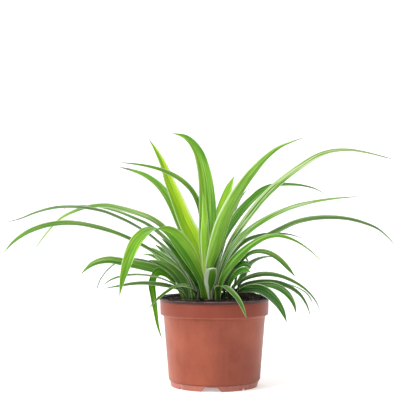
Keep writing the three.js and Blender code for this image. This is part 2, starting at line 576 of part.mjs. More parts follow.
for (const leaf of LEAVES) {
  const base = new THREE.Vector3(...leaf.seat, CROWN_TOP + GAP);
  let blocked = [];
  const swing = SWINGS.find((turn) => {
    const grown = blade(leaf, base, turn, GAP);
    const box = boxOf(grown);
    const solid = toSolid(grown);
    const near = placed.filter((item) => item.box.intersectsBox(box));
    const own = `crown_${leaf.crown}`;
    const hits = near.filter((item) => item.name !== own && !item.solid.intersect(solid).isEmpty());
    if (hits.length && turn === 0) blocked = hits.map((item) => item.name);
    return hits.length === 0;
  });
  if (swing === undefined) throw new Error(`${leaf.name} can't be bent clear of ${blocked.join(', ')}`);
  const geometry = blade(leaf, base, swing, 0);
  placed.push({ name: leaf.name, solid: toSolid(geometry.clone()), box: boxOf(geometry) });
  plant.add(makeMesh(leaf.name, geometry, COLOURS[leaf.age], 0.55));
}

export default plant;
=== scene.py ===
"""Looks of a potted spider plant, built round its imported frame: a thin nursery pot, potting soil with
crumbs on it, rootstocks, and about fifty arching leaves with cream margins."""

import json
import math
import random

import bmesh
import bpy
import numpy as np
from bpy.props import EnumProperty, FloatProperty, FloatVectorProperty, IntProperty, PointerProperty
from mathutils import Matrix, Vector, noise

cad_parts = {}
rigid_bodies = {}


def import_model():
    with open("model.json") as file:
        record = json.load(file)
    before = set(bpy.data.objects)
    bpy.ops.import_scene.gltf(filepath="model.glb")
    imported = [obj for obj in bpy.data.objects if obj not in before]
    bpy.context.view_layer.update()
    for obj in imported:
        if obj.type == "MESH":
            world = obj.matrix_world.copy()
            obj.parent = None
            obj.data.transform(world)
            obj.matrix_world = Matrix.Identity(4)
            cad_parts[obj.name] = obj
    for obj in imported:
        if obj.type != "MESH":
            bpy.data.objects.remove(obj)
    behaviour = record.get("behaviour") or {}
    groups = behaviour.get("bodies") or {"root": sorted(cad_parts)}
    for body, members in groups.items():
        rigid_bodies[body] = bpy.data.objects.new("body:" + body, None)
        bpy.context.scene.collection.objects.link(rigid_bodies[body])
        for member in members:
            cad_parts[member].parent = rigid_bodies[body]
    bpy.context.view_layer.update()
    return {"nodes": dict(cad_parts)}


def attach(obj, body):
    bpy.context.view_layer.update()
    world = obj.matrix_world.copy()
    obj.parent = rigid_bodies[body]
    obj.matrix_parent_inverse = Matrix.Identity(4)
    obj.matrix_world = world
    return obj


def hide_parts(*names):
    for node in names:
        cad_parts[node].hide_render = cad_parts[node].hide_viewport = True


bl_info = {
    "name": "Potted spider plant",
    "version": (1, 0, 0),
    "blender": (4, 5, 0),
    "location": "3D View > Sidebar > Spider plant",
    "description": "Builds a spider plant in a nursery pot round its frame",
    "category": "Object",
}

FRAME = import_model()
NODES = FRAME["nodes"]

MM = 0.001
BODY = "root"
# Points of a mesh that are closer together than this are one point.
MERGED = 0.001 * MM
ROSETTES = ("main", "left", "rear", "right")


# Settings


def number(label, description, default, least=0.0, **options):
    return FloatProperty(
        name=label, description=description, default=default, min=least, **options
    )


def length(label, description, mm):
    return number(label, description, mm * MM, unit="LENGTH", subtype="DISTANCE", precision=5)


def angle(label, description, degrees):
    return number(
        label, description, math.radians(degrees), -math.tau, unit="ROTATION", subtype="ANGLE"
    )


def colour(label, description, rgb):
    return FloatVectorProperty(
        name=label, description=description, default=rgb, min=0.0, max=1.0, size=3,
        subtype="COLOR",
    )


def count(label, description, default, least=1):
    return IntProperty(name=label, description=description, default=default, min=least)


class PotSettings(bpy.types.PropertyGroup):
    """Sizes and colours of the nursery pot"""

    sides: count("Sides", "Steps round the pot", 192, 12)
    height: length("Height", "Floor to the top of the lip", 92)
    wall: length("Wall", "Thickness of the sheet", 1.0)
    lip_radius: length("Lip radius", "Outer radius of the lip", 60)
    lip_thickness: length("Lip thickness", "Height of the lip's edge", 1.8)
    collar_top: length("Collar top radius", "Outer radius under the lip", 56.8)
    collar_foot: length("Collar bottom radius", "Outer radius at the foot of the collar", 56.4)
    collar_height: length("Collar bottom height", "Height of the foot of the collar", 74.5)
    wall_top: length("Wall top radius", "Outer radius just under the collar", 53)
    wall_top_height: length("Wall top height", "Height of the top of the tapering wall", 72.5)
    wall_foot: length("Wall bottom radius", "Outer radius just above the groove", 47.7)
    groove_height: length("Groove height", "Height of the groove over the foot ring", 6.2)
    groove_radius: length("Groove radius", "Outer radius in the groove", 46.6)
    foot_top: length("Foot top radius", "Outer radius of the foot ring at its top", 46.3)
    foot_bottom: length("Foot bottom radius", "Outer radius of the foot ring on the floor", 45.5)
    foot_height: length("Foot height", "Height of the foot ring", 5.6)
    foot_wall: length("Foot thickness", "Thickness of the foot ring", 1.5)
    plate_bottom: length("Plate underside", "Height of the underside of the plate", 4.6)
    plate: length("Plate thickness", "Thickness of the plate", 1.2)
    ring_height: length("Ring line height", "Height of the faint line round the collar", 87.4)
    ring_depth: length("Ring line depth", "Depth of the faint line round the collar", 0.22)
    edge_round: length("Edge round", "Radius of the moulded edges", 0.45)
    arch_turn: angle("Arch turn", "Direction of the first wide arch in the foot", -94.6)
    slit_turn: angle("Slit turn", "Direction of the first narrow arch in the foot", -49.6)
    holes: count("Drain holes", "Number of drain holes in the plate", 8)
    hole_ring: length("Drain ring", "Radius of the ring of drain holes", 34)
    hole_radius: length("Drain hole radius", "Radius of one drain hole", 3.6)
    outside: colour("Outside", "Terracotta sheet outside", (0.39, 0.101, 0.051))
    shade: colour("Outside, deep", "Darker patches of the sheet", (0.185, 0.033, 0.018))
    inside: colour("Inside", "Black sheet inside and on the lip", (0.012, 0.0105, 0.0105))


class SoilSettings(bpy.types.PropertyGroup):
    """Sizes and colours of the potting soil and the rootstocks in it"""

    voxel: length("Grain", "Step of the soil's surface", 1.15)
    lump: length("Lump", "Height of the lumps in the surface", 0.75)
    grain: length("Fine lump", "Height of the finest lumps", 0.3)
    heap: length("Heap", "Height of the soil heaped up behind the right rosette", 9.0)
    heap_right: length("Heap to the right", "How far right of the axis the heap is", 27.0)
    heap_back: length("Heap to the back", "How far behind the axis the heap is", 19.0)
    heap_reach: length("Heap reach", "Radius of the heap", 29.0)
    lumpy_above: length("Surface height", "Only what lies above this is lumpy", 84.5)
    crumb: length("Crumb", "Size of a common crumb", 1.25)
    crumb_density: number("Crumb density", "Crumbs on each square metre", 230000.0)
    crumb_reach: length("Crumb reach", "Crumbs lie within this radius of the axis", 53.6)
    seed: count("Seed", "Seed of the crumbs' places", 7, 0)
    peat: colour("Peat", "Dark peat", (0.0085, 0.0055, 0.0045))
    bark: colour("Bark", "Brown bits of bark and coir", (0.24, 0.135, 0.105))
    root_skin: colour("Rootstock", "Pale skin of the rootstocks", (0.34, 0.33, 0.17))
    root_stain: colour("Rootstock, stained", "Skin stained by the soil", (0.07, 0.05, 0.03))


class LeafSettings(bpy.types.PropertyGroup):
    """Sizes and colours of the leaves"""

    steps: count("Steps", "Steps along the blade between two stations of the frame", 4)
    across: count("Columns", "Points across the blade", 11, 5)
    thickness: length("Thickness", "Thickness at the midrib", 0.62)
    roundness: number(
        "Roundness", "0 folds the blade as a V, 1 bends it as a U", 0.55, max=1.0, subtype="FACTOR"
    )
    wave: length("Wave height", "How far the margins wave", 0.35)
    wave_length: length("Wave length", "Length of the margins' waves", 26)
    sunk: length("Sunk", "How far the base reaches into the rootstock", 1.3)
    deep: colour("Deep green", "The darkest outer leaves", (0.007, 0.070, 0.0015))
    green: colour("Mid green", "Grown leaves", (0.070, 0.240, 0.010))
    light: colour("Light green", "Leaves of the middle of a rosette", (0.265, 0.515, 0.036))
    yellow: colour("Yellow green", "The youngest leaf with light behind it", (0.50, 0.63, 0.016))
    margin: colour("Margin", "Cream margins", (0.60, 0.74, 0.34))
    white_margin: colour("White margin", "Margins of the outer leaves", (0.64, 0.69, 0.56))
    dry: colour("Dry tip", "Dried brown tips", (0.19, 0.155, 0.145))


class StageSettings(bpy.types.PropertyGroup):
    """Camera, light and floor"""

    eye: FloatVectorProperty(
        name="Camera", description="Place of the camera", default=(-0.015, -1.2, 0.193),
        subtype="TRANSLATION", unit="LENGTH",
    )
    focal: number("Focal length", "Focal length in millimetres", 103.5, 1.0)
    key: number("Key light", "Watts of the main light", 40.0)
    fill: number("Fill light", "Watts of the fill light", 0.3)
    overhead: number("Overhead light", "Watts of the light over the backdrop", 36.0)
    sky: number("Room light", "Strength of the room's light", 0.58)
    floor: colour("Floor", "Colour of the floor and backdrop", (0.93, 0.93, 0.93))
    glow: number("Floor glow", "How strongly the sheet of the floor is lit from below", 0.36)


# Meshes


def put_object(name, data):
    thing = bpy.data.objects.new(name, data)
    bpy.context.scene.collection.objects.link(thing)
    return thing


def mesh_object(name, vertices, faces):
    mesh = bpy.data.meshes.new(name)
    mesh.from_pydata([tuple(v) for v in vertices], [], faces)
    mesh.validate()
    return put_object(name, mesh)


def finish_piece(thing, nodes=()):
    """Hands a finished piece to the frame."""
    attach(thing, BODY)
    if nodes:
        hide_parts(*nodes)


def set_materials(thing, *materials):
    thing.data.materials.clear()
    for m in materials:
        thing.data.materials.append(m)


def check_made(thing, least):
    """Stops the script if a step left too few faces."""
    if len(thing.data.polygons) < least:
        raise RuntimeError(f"{thing.name} has only {len(thing.data.polygons)} faces")


def smooth(mesh, degrees):
    mesh.shade_smooth()
    mesh.set_sharp_from_angle(angle=math.radians(degrees))


def merged(mesh):
    """The points and faces of a frame node's mesh, its loose triangles joined."""
    work = bmesh.new()
    work.from_mesh(mesh)
    bmesh.ops.remove_doubles(work, verts=work.verts, dist=MERGED)
    return work


def mesh_of(work, name):
    mesh = bpy.data.meshes.new(name)
    work.to_mesh(mesh)
    work.free()
    return mesh


def apply_modifiers(thing):
    """Turns what the modifiers make into a plain mesh. Returns the new object that has it."""
    bpy.context.view_layer.update()
    graph = bpy.context.evaluated_depsgraph_get()
    mesh = bpy.data.meshes.new_from_object(thing.evaluated_get(graph), depsgraph=graph)
    name = thing.name
    bpy.data.objects.remove(thing)
    mesh.name = name
    return put_object(name, mesh)


def vertex_table(mesh, what="co"):
    """The places of a mesh's vertices, or their normals, as rows of x, y and z."""
    flat = np.zeros(len(mesh.vertices) * 3, np.float32)
    mesh.vertices.foreach_get(what, flat)
    return flat.reshape(-1, 3).astype(float)


def move_vertices(mesh, points):
    mesh.vertices.foreach_set("co", points.astype(np.float32).ravel())
    mesh.update()
    mesh.shade_smooth()


# Node trees


def sign(operation, swapped=False):
    """What a plain sign does between two fields, or between a field and a number."""

    def act(field, other):
        pair = (other, field) if swapped else (field, other)
        return field.net.join(operation, *pair)

    return act


class Field:
    """An output of a node. Plain signs between fields and numbers add the nodes to work them out."""

    def __init__(self, net, socket):
        self.net, self.socket = net, socket
        self.is_vector = socket.type in ("VECTOR", "RGBA")

    __add__, __radd__ = sign("ADD"), sign("ADD", True)
    __sub__, __rsub__ = sign("SUBTRACT"), sign("SUBTRACT", True)
    __mul__, __truediv__ = sign("MULTIPLY"), sign("DIVIDE")

    def __abs__(self):
        return self.net.math("ABSOLUTE", self)


class Net:
    """Adds the nodes of one tree and joins them."""

    def __init__(self, tree):
        self.tree = tree

    def feed(self, socket, value):
        if isinstance(value, Field):
            self.tree.links.new(value.socket, socket)
        else:
            socket.default_value = value

    def fill(self, node, inputs):
        for key, value in inputs.items():
            self.feed(node.inputs[key], value)

    def add(self, kind, inputs=None, **settings):
        node = self.tree.nodes.new(kind)
        for name, value in settings.items():
            setattr(node, name, value)
        self.fill(node, inputs or {})
        return node

    def out(self, kind, inputs=None, which=0, **settings):
        """Adds a node and returns one of its outputs."""
        return Field(self, self.add(kind, inputs, **settings).outputs[which])

    def math(self, operation, *values, clamp=False):
        return self.out(
            "ShaderNodeMath", dict(enumerate(values)), operation=operation, use_clamp=clamp
        )

    def vector(self, operation, *values):
        slots = (0, 3) if operation == "SCALE" else (0, 1)
        which = 1 if operation == "LENGTH" else 0
        return self.out(
            "ShaderNodeVectorMath", dict(zip(slots, values)), which, operation=operation
        )

    def join(self, operation, a, b):
        """The node for a sign between a and b. A vector times a number is that vector scaled."""
        vectors = [isinstance(v, tuple) or getattr(v, "is_vector", False) for v in (a, b)]
        if not any(vectors):
            return self.math(operation, a, b)
        if operation == "MULTIPLY" and not all(vectors):
            return self.vector("SCALE", *((a, b) if vectors[0] else (b, a)))
        return self.vector(operation, a, b)

    def combine(self, x, y, z=0.0):
        return self.out("ShaderNodeCombineXYZ", {0: x, 1: y, 2: z})

    def split(self, value):
        return [Field(self, s) for s in self.add("ShaderNodeSeparateXYZ", {0: value}).outputs]

    def off_axis(self, place):
        """How far a place is from the pot's axis."""
        x, y, _ = self.split(place)
        return self.vector("LENGTH", self.combine(x, y))

    def mix(self, share, a, b):
        """Between two numbers."""
        return self.out("ShaderNodeMix", {0: share, 2: a, 3: b}, data_type="FLOAT")

    def blend(self, share, a, b):
        """Between two colours."""
        a, b = (c if isinstance(c, Field) else (*c, 1.0) for c in (a, b))
        return self.out("ShaderNodeMix", {0: share, 6: a, 7: b}, 2, data_type="RGBA")

    def layers(self, ground, *coats):
        """A colour under coats, each given as how much of it there is and its colour."""
        for share, tint in coats:
            ground = self.blend(share, ground, tint)
        return ground

    def ramp(self, value, low, high, to_low=0.0, to_high=1.0, soft=True):
        """value between low and high, as a share between to_low and to_high."""
        return self.out(
            "ShaderNodeMapRange", {0: value, 1: low, 2: high, 3: to_low, 4: to_high},
            interpolation_type="SMOOTHSTEP" if soft else "LINEAR",
        )

    def noise(self, vector, scale, detail=2.0, roughness=0.5, which=0):
        """A grey noise, or a coloured one if which is 1."""
        return self.out(
            "ShaderNodeTexNoise",
            {"Vector": vector, "Scale": scale, "Detail": detail, "Roughness": roughness}, which,
        )

    def place(self):
        """Where on the piece the shaded point is."""
        return self.out("ShaderNodeTexCoord", which="Object")

    def bump(self, height, strength, depth):
        """The normal of a height that is depth mm deep."""
        return self.out(
            "ShaderNodeBump", {"Strength": strength, "Distance": depth * MM, "Height": height}
        )

    def use(self, group, inputs):
        """Places a node group and returns its outputs by name."""
        node = self.add("ShaderNodeGroup", inputs, node_tree=group)
        return {s.name: Field(self, s) for s in node.outputs}


def new_group(name, kind, inputs, outputs):
    """A node group, as (Net, input fields by name, the group's output node). Each socket is given
    as its label and either its default, a number, or the name of its type."""
    tree = bpy.data.node_groups.new(name, kind)
    for side, sockets in (("INPUT", inputs), ("OUTPUT", outputs)):
        for label, value in sockets.items():
            sort = {float: "Float", int: "Int"}.get(type(value), value)
            socket = tree.interface.new_socket(
                label, in_out=side, socket_type=f"NodeSocket{sort}"
            )
            if sort != value:
                socket.default_value = value
    net = Net(tree)
    given = {s.name: Field(net, s) for s in net.add("NodeGroupInput").outputs if s.name}
    return net, given, net.add("NodeGroupOutput")


def end_tree(net, given, out, label, geometry):
    """The last nodes of a geometry tree."""
    real = net.out("GeometryNodeRealizeInstances", {0: geometry})
    inputs = {"Geometry": real, "Material": given["Material"]}
    net.fill(out, {label: net.out("GeometryNodeSetMaterial", inputs)})
    return net.tree


def new_material(name, paint):
    """A material whose tree is made by paint(net), which returns the Principled shader's inputs."""
    material = bpy.data.materials.new(name)
    material.use_nodes = True
    net = Net(material.node_tree)
    principled = next(n for n in net.tree.nodes if n.type == "BSDF_PRINCIPLED")
    net.fill(principled, paint(net))
    return material


def mottle_group():
    """Fine mottling of moulded or natural stuff: one mask, one height."""
    net, given, out = new_group(
        "Mottle",
        "ShaderNodeTree",
        {"Vector": "Vector", "Broad scale": 30.0, "Fine scale": 900.0, "Contrast": 0.5},
        {"Mask": "Float", "Height": "Float"},
    )
    broad = net.noise(given["Vector"], given["Broad scale"], 3.0, 0.55)
    fine = net.noise(given["Vector"], given["Fine scale"], 2.0, 0.6)
    swing = (net.mix(0.35, broad, fine) - 0.5) * given["Contrast"]
    net.fill(out, {"Mask": net.math("ADD", swing, 0.5, clamp=True), "Height": fine})
    return net.tree


def mottled(net, place, broad, fine, contrast):
    """Mask and height of the mottling, with its scales."""
    group = bpy.data.node_groups.get("Mottle") or mottle_group()
    return net.use(
        group, {"Vector": place, "Broad scale": broad, "Fine scale": fine, "Contrast": contrast}
    )


# Pot


def softened(corners, radius, steps=3):
    """A profile of (r, z) corners with every sharp corner rounded."""
    most = 0.45  # of a side that a round may take
    points = [Vector(corners[0])]
    for before, corner, after in zip(corners, corners[1:], corners[2:]):
        before, corner, after = Vector(before), Vector(corner), Vector(after)
        back, on = before - corner, after - corner
        cut = min(radius, back.length * most, on.length * most)
        start, end = corner + back.normalized() * cut, corner + on.normalized() * cut
        for i in range(steps + 1):
            t = i / steps
            points.append(start * (1 - t) ** 2 + corner * 2 * t * (1 - t) + end * t * t)
    points.append(Vector(corners[-1]))
    return points


def lathe(name, profile, sides):
    """Turns a profile that starts and ends on the axis into a closed shell."""
    inner = profile[1:-1]
    vertices = [(0, 0, profile[0][1])]
    for r, z in inner:
        for i in range(sides):
            turn = 2 * math.pi * i / sides
            vertices.append((r * math.cos(turn), r * math.sin(turn), z))
    vertices.append((0, 0, profile[-1][1]))
    last = len(vertices) - 1
    faces = []
    for i in range(sides):
        j = (i + 1) % sides
        faces.append((0, 1 + j, 1 + i))
        for ring in range(len(inner) - 1):
            a, b = 1 + ring * sides, 1 + (ring + 1) * sides
            faces.append((a + i, a + j, b + j, b + i))
        top = 1 + (len(inner) - 1) * sides
        faces.append((last, top + i, top + j))
    return mesh_object(name, vertices, faces)


def inner_radius(p, z):
    """Radius of the pot's inside at a height."""
    if z < p.wall_top_height:
        up = (z - p.groove_height) / (p.wall_top_height - p.groove_height)
        return p.wall_foot + (p.wall_top - p.wall_foot) * up - p.wall
    up = max(z - p.collar_height, 0) / (p.height - p.collar_height)
    return p.collar_foot + (p.collar_top - p.collar_foot) * up - p.wall


def pot_profile(p):
    """The pot's outline from the underside of the plate, round the outside and back inside."""
    plate_top = p.plate_bottom + p.plate
    under_lip = p.height - p.lip_thickness
    step = 0.8 * MM
    shelf = p.collar_height + step
    line = 0.5 * MM
    ring = p.collar_foot + (p.collar_top - p.collar_foot) * 0.74
    return softened(
        [
            (0, p.plate_bottom),
            (p.foot_top - p.foot_wall, p.plate_bottom),
            (p.foot_bottom - p.foot_wall, 0),
            (p.foot_bottom, 0),
            (p.foot_top, p.foot_height),
            (p.groove_radius, p.groove_height),
            (p.wall_foot, p.groove_height + step),
            (p.wall_top, p.wall_top_height),
            (p.collar_foot, p.collar_height),
            (ring, p.ring_height - line),
            (ring - p.ring_depth, p.ring_height),
            (ring + 0.03 * MM, p.ring_height + line),
            (p.collar_top, under_lip - step),
            (p.collar_top + step, under_lip),
            (p.lip_radius - 0.4 * MM, under_lip + 0.4 * MM),
            (p.lip_radius, p.height - step),
            (p.lip_radius - 0.5 * MM, p.height),
            (p.lip_radius - 1.4 * MM, p.height),
            (inner_radius(p, p.height), under_lip),
            (inner_radius(p, shelf), shelf),
            (p.wall_top - p.wall, p.wall_top_height + 0.4 * MM),
            (inner_radius(p, plate_top + p.wall), plate_top + p.wall),
            (inner_radius(p, plate_top) - p.wall, plate_top),
            (0, plate_top),
        ],
        p.edge_round,
    )


def foot_bars(name, turn, wide, narrow, height, amount=4):
    """Bars that cut the arches out of the foot ring, with their sizes in mm."""
    below, inner, outer, wide, narrow, height = (
        size * MM for size in (1, 36, 56, wide, narrow, height)
    )
    corners = ((-wide / 2, -below), (wide / 2, -below), (narrow / 2, height), (-narrow / 2, height))
    sides = ((0, 3, 2, 1), (4, 5, 6, 7), (0, 1, 5, 4), (1, 2, 6, 5), (2, 3, 7, 6), (3, 0, 4, 7))
    vertices, faces = [], []
    for i in range(amount):
        spin = Matrix.Rotation(turn + 2 * math.pi * i / amount, 3, "Z")
        faces += [tuple(len(vertices) + k for k in side) for side in sides]
        vertices += [spin @ Vector((x, y, z)) for x in (inner, outer) for y, z in corners]
    return mesh_object(name, vertices, faces)


def drain_pins(name, p):
    """Pins that cut the drain holes, set between the arches."""
    work = bmesh.new()
    for i in range(p.holes):
        turn = p.arch_turn + 2 * math.pi * (i + 0.5) / p.holes
        place = Matrix.Rotation(turn, 4, "Z") @ Matrix.Translation(
            (p.hole_ring, 0, p.plate_bottom + p.plate / 2)
        )
        bmesh.ops.create_cone(
            work, cap_ends=True, segments=32, radius1=p.hole_radius, radius2=p.hole_radius,
            depth=4 * MM, matrix=place,
        )
    return put_object(name, mesh_of(work, name))


def paint_pot_outside(net):
    p = bpy.context.scene.plant_pot
    place = net.place()
    z = net.split(place)[2]
    mottle = mottled(net, place, broad=26.0, fine=1400.0, contrast=2.0)
    # The sheet was drawn down over a mould, which leaves faint upright streaks.
    streaks = net.noise(place * (1.0, 1.0, 0.06), 210.0, 3.0, 0.6)
    # The collar is darkened all round, painted shade, and the thin foot ring lightened, a painted
    # highlight.
    collar = net.ramp(z, p.collar_height - 0.5 * MM, p.collar_height + 1.5 * MM) * 0.6
    foot = net.ramp(z, p.groove_height - 0.8 * MM, p.groove_height, 0.3, 0.0)
    foot = foot * net.ramp(streaks, 0.3, 0.7, 0.6, 1.0)
    # Edges that rub in handling are paler: the foot of the collar and of the pot.
    wear = net.noise(place, 260.0, 4.0, 0.65)
    near_collar = net.ramp(abs(z - (p.collar_height + 0.2 * MM)), 0.0, 0.9 * MM, 1.0, 0.0)
    near_foot = net.ramp(z, 0.0, 1.6 * MM, 1.0, 0.0)
    rubbed = net.math("MAXIMUM", near_collar, near_foot) * net.ramp(wear, 0.4, 0.7, 0.1, 0.5)
    # Painted shade darkens the sheet under the lip and in the groove, broken up by the wear noise.
    under_lip = net.ramp(z, p.height - 4.6 * MM, p.height - 2.4 * MM)
    groove = net.ramp(abs(z - p.groove_height), 0.0, 1.1 * MM, 1.0, 0.0)
    lip_and_groove_shade = net.math("MAXIMUM", under_lip, groove) * net.ramp(wear, 0.3, 0.7, 0.45, 0.95)
    # The overhanging lip keeps the light off the top of the collar.
    shade = net.ramp(z, p.height - 5.2 * MM, p.height - 1.8 * MM, 0.0, 0.85)
    sheet = net.layers(
        p.outside,
        (mottle["Mask"], p.shade),
        (net.ramp(streaks, 0.45, 0.75, 0.0, 0.16), (0.40, 0.115, 0.068)),
        (collar, (0.205, 0.031, 0.016)),
        (foot, (0.66, 0.34, 0.29)),
        (rubbed, (0.43, 0.17, 0.12)),
        (lip_and_groove_shade, (0.11, 0.020, 0.012)),
        (shade, (0.022, 0.010, 0.009)),
    )
    return {
        "Base Color": sheet,
        "Roughness": 0.33 + mottle["Mask"] * 0.12 + rubbed * 0.25,
        "Normal": net.bump(streaks * 0.6 + mottle["Height"] * 0.18, strength=0.22, depth=0.35),
        "Specular IOR Level": 0.27,
    }


def paint_pot_inside(net):
    p = bpy.context.scene.plant_pot
    place = net.place()
    mottle = mottled(net, place, broad=60.0, fine=1300.0, contrast=1.5)
    # The lip's edge gets a greyish pink painted highlight.
    lip_highlight = net.ramp(
        net.off_axis(place), p.lip_radius - 0.9 * MM, p.lip_radius - 0.2 * MM
    ) * net.ramp(net.noise(place, 90.0, 3.0, 0.6), 0.35, 0.65, 0.15, 0.9)
    return {
        "Base Color": net.layers(
            p.inside, (mottle["Mask"], (0.032, 0.025, 0.023)), (lip_highlight, (0.15, 0.095, 0.095))
        ),
        "Roughness": net.ramp(mottle["Mask"], 0.2, 0.8, 0.5, 0.7),
        "Normal": net.bump(mottle["Height"], strength=0.15, depth=0.3),
        "Specular IOR Level": 0.12,
    }


class PLANT_OT_pot(bpy.types.Operator):
    """Turns the pot and cuts its foot arches and drain holes"""

    bl_idname = "plant.pot"
    bl_label = "Nursery pot"

    def execute(self, context):
        p = context.scene.plant_pot
        pot = lathe("nursery_pot", pot_profile(p), p.sides)
        cutters = [
            foot_bars("arch_cutter", p.arch_turn, wide=22.5, narrow=12.5, height=4.2),
            foot_bars("slit_cutter", p.slit_turn, wide=4.5, narrow=3.5, height=2),
            drain_pins("drain_cutter", p),
        ]
        for cutter in cutters:
            cut = pot.modifiers.new(cutter.name, "BOOLEAN")
            cut.operation, cut.solver, cut.object = "DIFFERENCE", "EXACT", cutter
        pot = apply_modifiers(pot)
        for cutter in cutters:
            bpy.data.objects.remove(cutter)
        check_made(pot, p.sides)
        smooth(pot.data, 32)
        set_materials(
            pot,
            new_material("Terracotta sheet", paint_pot_outside),
            new_material("Black sheet", paint_pot_inside),
        )
        # The outside is the first of the two sheets, the inside and the lip the second.
        lip = p.height - p.lip_thickness * 0.8
        floor = p.plate_bottom + 0.1 * MM
        for face in pot.data.polygons:
            c, n = face.center, face.normal
            inward = (c.x * n.x + c.y * n.y) < 0 or n.z > 0.9
            enclosed = math.hypot(c.x, c.y) < inner_radius(p, c.z) + 0.35 * p.wall
            face.material_index = int(c.z > lip or (inward and enclosed and c.z > floor))
        finish_piece(pot, ["pot"])
        return {"FINISHED"}


# Soil and rootstocks


def paint_soil(net):
    s = bpy.context.scene.plant_soil
    place = net.place()
    mottle = mottled(net, place, broad=240.0, fine=1500.0, contrast=2.0)
    bits = net.noise(place, 420.0, 3.0, 0.7)
    return {
        "Base Color": net.layers(
            s.peat,
            (mottle["Mask"], (0.030, 0.018, 0.015)),
            (net.ramp(bits, 0.56, 0.66, 0.0, 0.85), s.bark),
        ),
        "Roughness": net.ramp(bits, 0.3, 0.7, 0.78, 0.97),
        "Normal": net.bump(bits + mottle["Height"] * 0.5, strength=0.8, depth=0.6),
        "Specular IOR Level": 0.15,
    }


def paint_rootstock(net):
    s = bpy.context.scene.plant_soil
    place = net.place()
    fibres = net.noise(place * (1.0, 1.0, 0.15), 900.0, 3.0, 0.6)
    blotches = net.noise(place, 260.0, 3.0, 0.6)
    return {
        "Base Color": net.layers(
            s.root_skin,
            (net.ramp(blotches, 0.35, 0.62), s.root_stain),
            (net.ramp(fibres, 0.55, 0.7, 0.0, 0.5), (0.16, 0.11, 0.06)),
        ),
        "Roughness": net.ramp(fibres, 0.3, 0.7, 0.6, 0.85),
        "Normal": net.bump(fibres, strength=0.5, depth=0.4),
    }


def remeshed(node, name, voxel):
    """A copy of a frame node with an even surface, fine enough to be made lumpy."""
    thing = put_object(name, mesh_of(merged(NODES[node].data), name))
    even = thing.modifiers.new("even", "REMESH")
    even.mode, even.voxel_size, even.adaptivity = "VOXEL", voxel, 0.0
    thing = apply_modifiers(thing)
    check_made(thing, 100)
    return thing


class PLANT_OT_soil(bpy.types.Operator):
    """Makes the soil's surface lumpy where it shows"""

    bl_idname = "plant.soil"
    bl_label = "Potting soil"

    def execute(self, context):
        s = context.scene.plant_soil
        # Lumps and grains to the metre, and how far the surface sinks.
        lumps, grains, sunk = 170, 900, 0.15 * MM
        soil = remeshed("soil", "potting_soil", s.voxel)
        points = vertex_table(soil.data)
        ups = vertex_table(soil.data, "normal")[:, 2]
        top = np.clip((points[:, 2] - s.lumpy_above) / (2 * MM), 0, 1) * np.clip(ups * 2, 0, 1)
        off = np.hypot(points[:, 0] - s.heap_right, points[:, 1] - s.heap_back) / s.heap_reach
        heap = s.heap * np.clip(1 - off**2, 0, 1) ** 1.5
        for i in np.nonzero(top > 0)[0]:
            at = Vector(points[i])
            lump = noise.fractal(at * lumps, 1.0, 2.0, 3) * s.lump
            grain = noise.noise(at * grains) * s.grain
            points[i, 2] += (heap[i] + lump + grain - sunk) * top[i]
        move_vertices(soil.data, points)
        set_materials(soil, new_material("Potting soil", paint_soil))
        finish_piece(soil, ["soil"])
        return {"FINISHED"}


class PLANT_OT_rootstocks(bpy.types.Operator):
    """Roughens the rootstocks and their roots"""

    bl_idname = "plant.rootstocks"
    bl_label = "Rootstocks"

    def execute(self, context):
        # Step of the surface, pits to the metre and their depth.
        voxel, pits, depth = 0.7 * MM, 420, 0.22 * MM
        skin = new_material("Rootstock skin", paint_rootstock)
        for node in sorted(n for n in NODES if n.startswith("crown_")):
            stock = remeshed(node, node.replace("crown", "rootstock"), voxel)
            points = vertex_table(stock.data)
            for point, normal in zip(points, vertex_table(stock.data, "normal")):
                point += normal * (noise.fractal(Vector(point) * pits, 1.0, 2.0, 2) - 0.6) * depth
            move_vertices(stock.data, points)
            set_materials(stock, skin)
            finish_piece(stock, [node])
        return {"FINISHED"}


